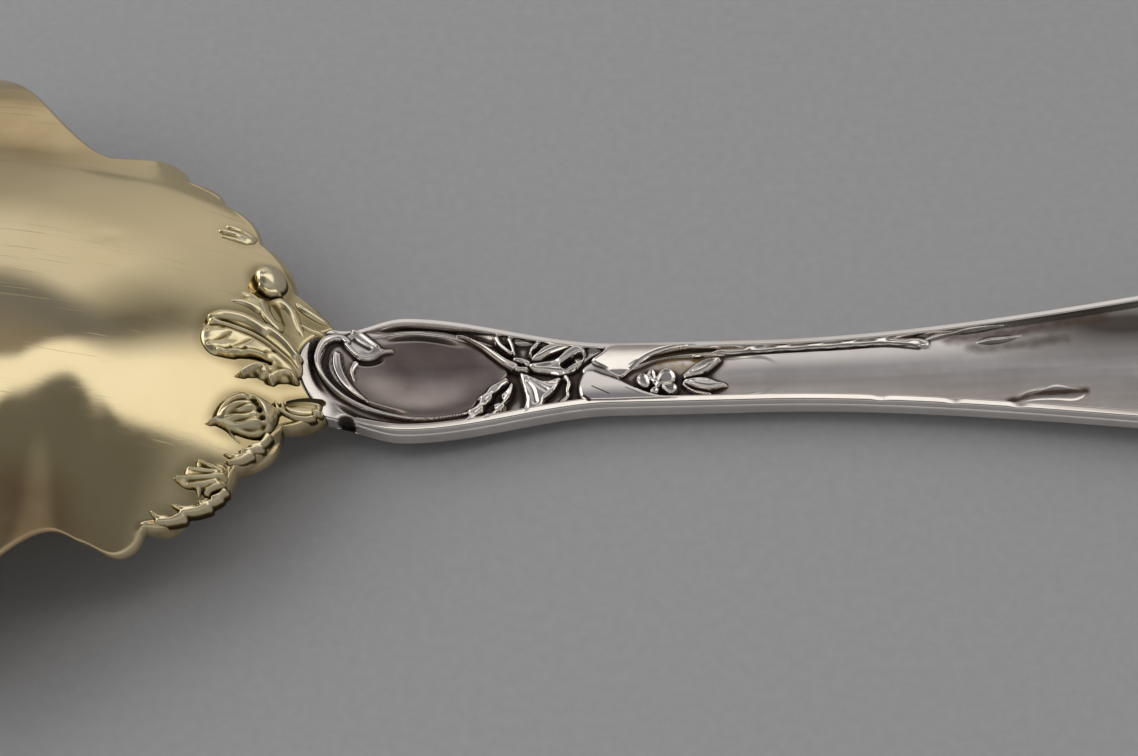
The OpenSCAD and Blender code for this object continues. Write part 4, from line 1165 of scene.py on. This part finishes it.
def camera():
    data = bpy.data.cameras.new("camera")
    data.sensor_fit = "HORIZONTAL"
    data.lens = data.sensor_width * FOCAL_PX / PHOTO_W
    data.clip_start = 0.01
    obj = bpy.data.objects.new("camera", data)
    place = Matrix.Translation(Vector((CAMERA[0] + NECK_X, CAMERA[1], CAMERA[2])) * MM)
    for angle, axis in ((-LOOK_YAW, "Z"), (90 - LOOK_DOWN, "X"), (LOOK_ROLL, "Z")):
        place = place @ Matrix.Rotation(math.radians(angle), 4, axis)
    obj.matrix_world = place
    bpy.context.scene.collection.objects.link(obj)
    bpy.context.scene.camera = obj


# Stage and light. Angles are in degrees and far distances in metres.
FLOOR_R = 3.0
PANEL_FAR = 1.0


def stage():
    r = FLOOR_R
    mesh = bpy.data.meshes.new("floor")
    mesh.from_pydata([(-r, -r, 0), (r, -r, 0), (r, r, 0), (-r, r, 0)], [], [(0, 1, 2, 3)])
    m = Nodes(bpy.data.materials.new("floor_grey"))
    m.colour = m.mix(m.range(m.noise(900, 3), 0.3, 0.7), FLOOR_LIGHT, FLOOR_DARK)
    mesh.materials.append(m.done(Base_Color=m.colour, Roughness=0.85))
    obj = bpy.data.objects.new("floor", mesh)
    bpy.context.scene.collection.objects.link(obj)


def softbox(name, azimuth, elevation, width, height, radiance):
    """Rectangular panel that the spoon sees under the given angles, with the given radiance."""
    data = bpy.data.lights.new(name, "AREA")
    data.shape = "RECTANGLE"
    data.size = 2 * PANEL_FAR * math.tan(math.radians(width / 2))
    data.size_y = 2 * PANEL_FAR * math.tan(math.radians(height / 2))
    data.energy = radiance * math.pi * data.size * data.size_y
    obj = bpy.data.objects.new(name, data)
    az, el = math.radians(azimuth), math.radians(elevation)
    out = Vector((math.cos(el) * math.cos(az), math.cos(el) * math.sin(az), math.sin(el)))
    obj.location = out * PANEL_FAR
    obj.rotation_euler = out.to_track_quat("Z", "Y").to_euler()
    bpy.context.scene.collection.objects.link(obj)


# Room: colours of its light, then the heights (share of straight up) and turns where they change
WALL_FAR = (0.76, 0.74, 0.735, 1)
WALL_LOW = (0.58, 0.56, 0.55, 1)
WING_LOW = (0.38, 0.37, 0.36, 1)
NEAR_LOW = (0.48, 0.48, 0.48, 1)
NEAR_RIGHT = (0.37, 0.37, 0.365, 1)
NEAR_HIGH = (0.145, 0.143, 0.135, 1)
GAP = (0.2, 0.205, 0.225, 1)
CEILING = (0.275, 0.25, 0.235, 1)
WINDOW = (1.15, 1.12, 1.07, 1)
WALL_HEIGHT = (0.32, 0.55)
NEAR_HEIGHT = (0.42, 0.60)
GAP_HEIGHT = (0.73, 0.80)
CEILING_HEIGHT = (0.86, 0.93)
WINDOW_FOOT, WINDOW_HEAD = (0.02, 0.12), (0.97, 0.95)
WING_TURN = (math.radians(72), math.radians(100))
WALL_TURN = (math.radians(48), math.radians(65))
WINDOW_FAR = (math.radians(43), math.radians(32))
LIGHT_NEAR = (-0.09, -0.03)


def world():
    """Studio room: light far wall, dim near wall, dark gap under a ceiling, and a window at the right."""
    m = Nodes(bpy.data.worlds.new("studio"), "Background")
    bpy.context.scene.world = m.owner
    x, y, z = m.add("SeparateXYZ", {0: m.add("TexCoord").outputs["Generated"]}).outputs
    turn = m.math("ARCTAN2", y, x)
    low = m.mix(m.range(turn, *WING_TURN), WALL_LOW, WING_LOW)
    far = m.mix(m.range(z, *WALL_HEIGHT), low, WALL_FAR)
    near = m.mix(m.range(z, *NEAR_HEIGHT), NEAR_LOW, NEAR_HIGH)
    near = m.mix(m.range(x, 0.45, 0.85), near, NEAR_RIGHT)
    room = m.mix(m.times(m.range(turn, *WALL_TURN), m.range(y, 0.0, 0.1)), near, far)
    room = m.mix(m.range(z, *GAP_HEIGHT), room, m.mix(m.range(y, 0.2, 0.5), NEAR_HIGH, GAP))
    room = m.mix(m.times(m.range(z, *CEILING_HEIGHT), m.range(y, 0.06, 0.2)), room, CEILING)
    slant = m.math("SUBTRACT", y, m.range(x, 0.1, 0.36, 0.0, 0.08, "SMOOTHSTEP"))
    slant = m.math("SUBTRACT", slant, m.range(x, 0.45, 0.8, 0.0, 0.05, "SMOOTHSTEP"))
    slant = m.plus(slant, m.range(x, 0.05, -0.25, 0.0, 0.06, "SMOOTHSTEP"))
    edge = m.range(slant, *LIGHT_NEAR)
    height = m.times(m.range(z, *WINDOW_FOOT), m.range(z, *WINDOW_HEAD))
    window = m.times(m.times(edge, m.range(turn, *WINDOW_FAR)), m.times(height, m.range(x, 0.0, 0.1)))
    top = m.times(m.times(edge, m.range(y, 0.23, 0.18)), m.range(x, -0.45, -0.35))
    top = m.times(top, m.range(z, 0.80, 0.86))
    m.done(Color=m.mix(m.math("MAXIMUM", window, top), room, WINDOW))


camera()
stage()
world()
softbox("fill_left", 168, 36, 60, 45, 1.45)

gilt_look, bright_look = gilt_relief(), silver("silver_bright", 0.12, False)
bowl(gilt_bowl())
handle(silver("silver_handle", 0.22, True))
for name in on_bowl.pieces:
    relief_piece(on_bowl, name, gilt_look, "gilt_relief")
for name in on_handle.pieces:
    relief_piece(on_handle, name, bright_look, "silver_bright")
rail(-1, "near_rail", bright_look)
rail(1, "far_rail", bright_look)

bpy.context.scene.view_settings.view_transform = "Standard"
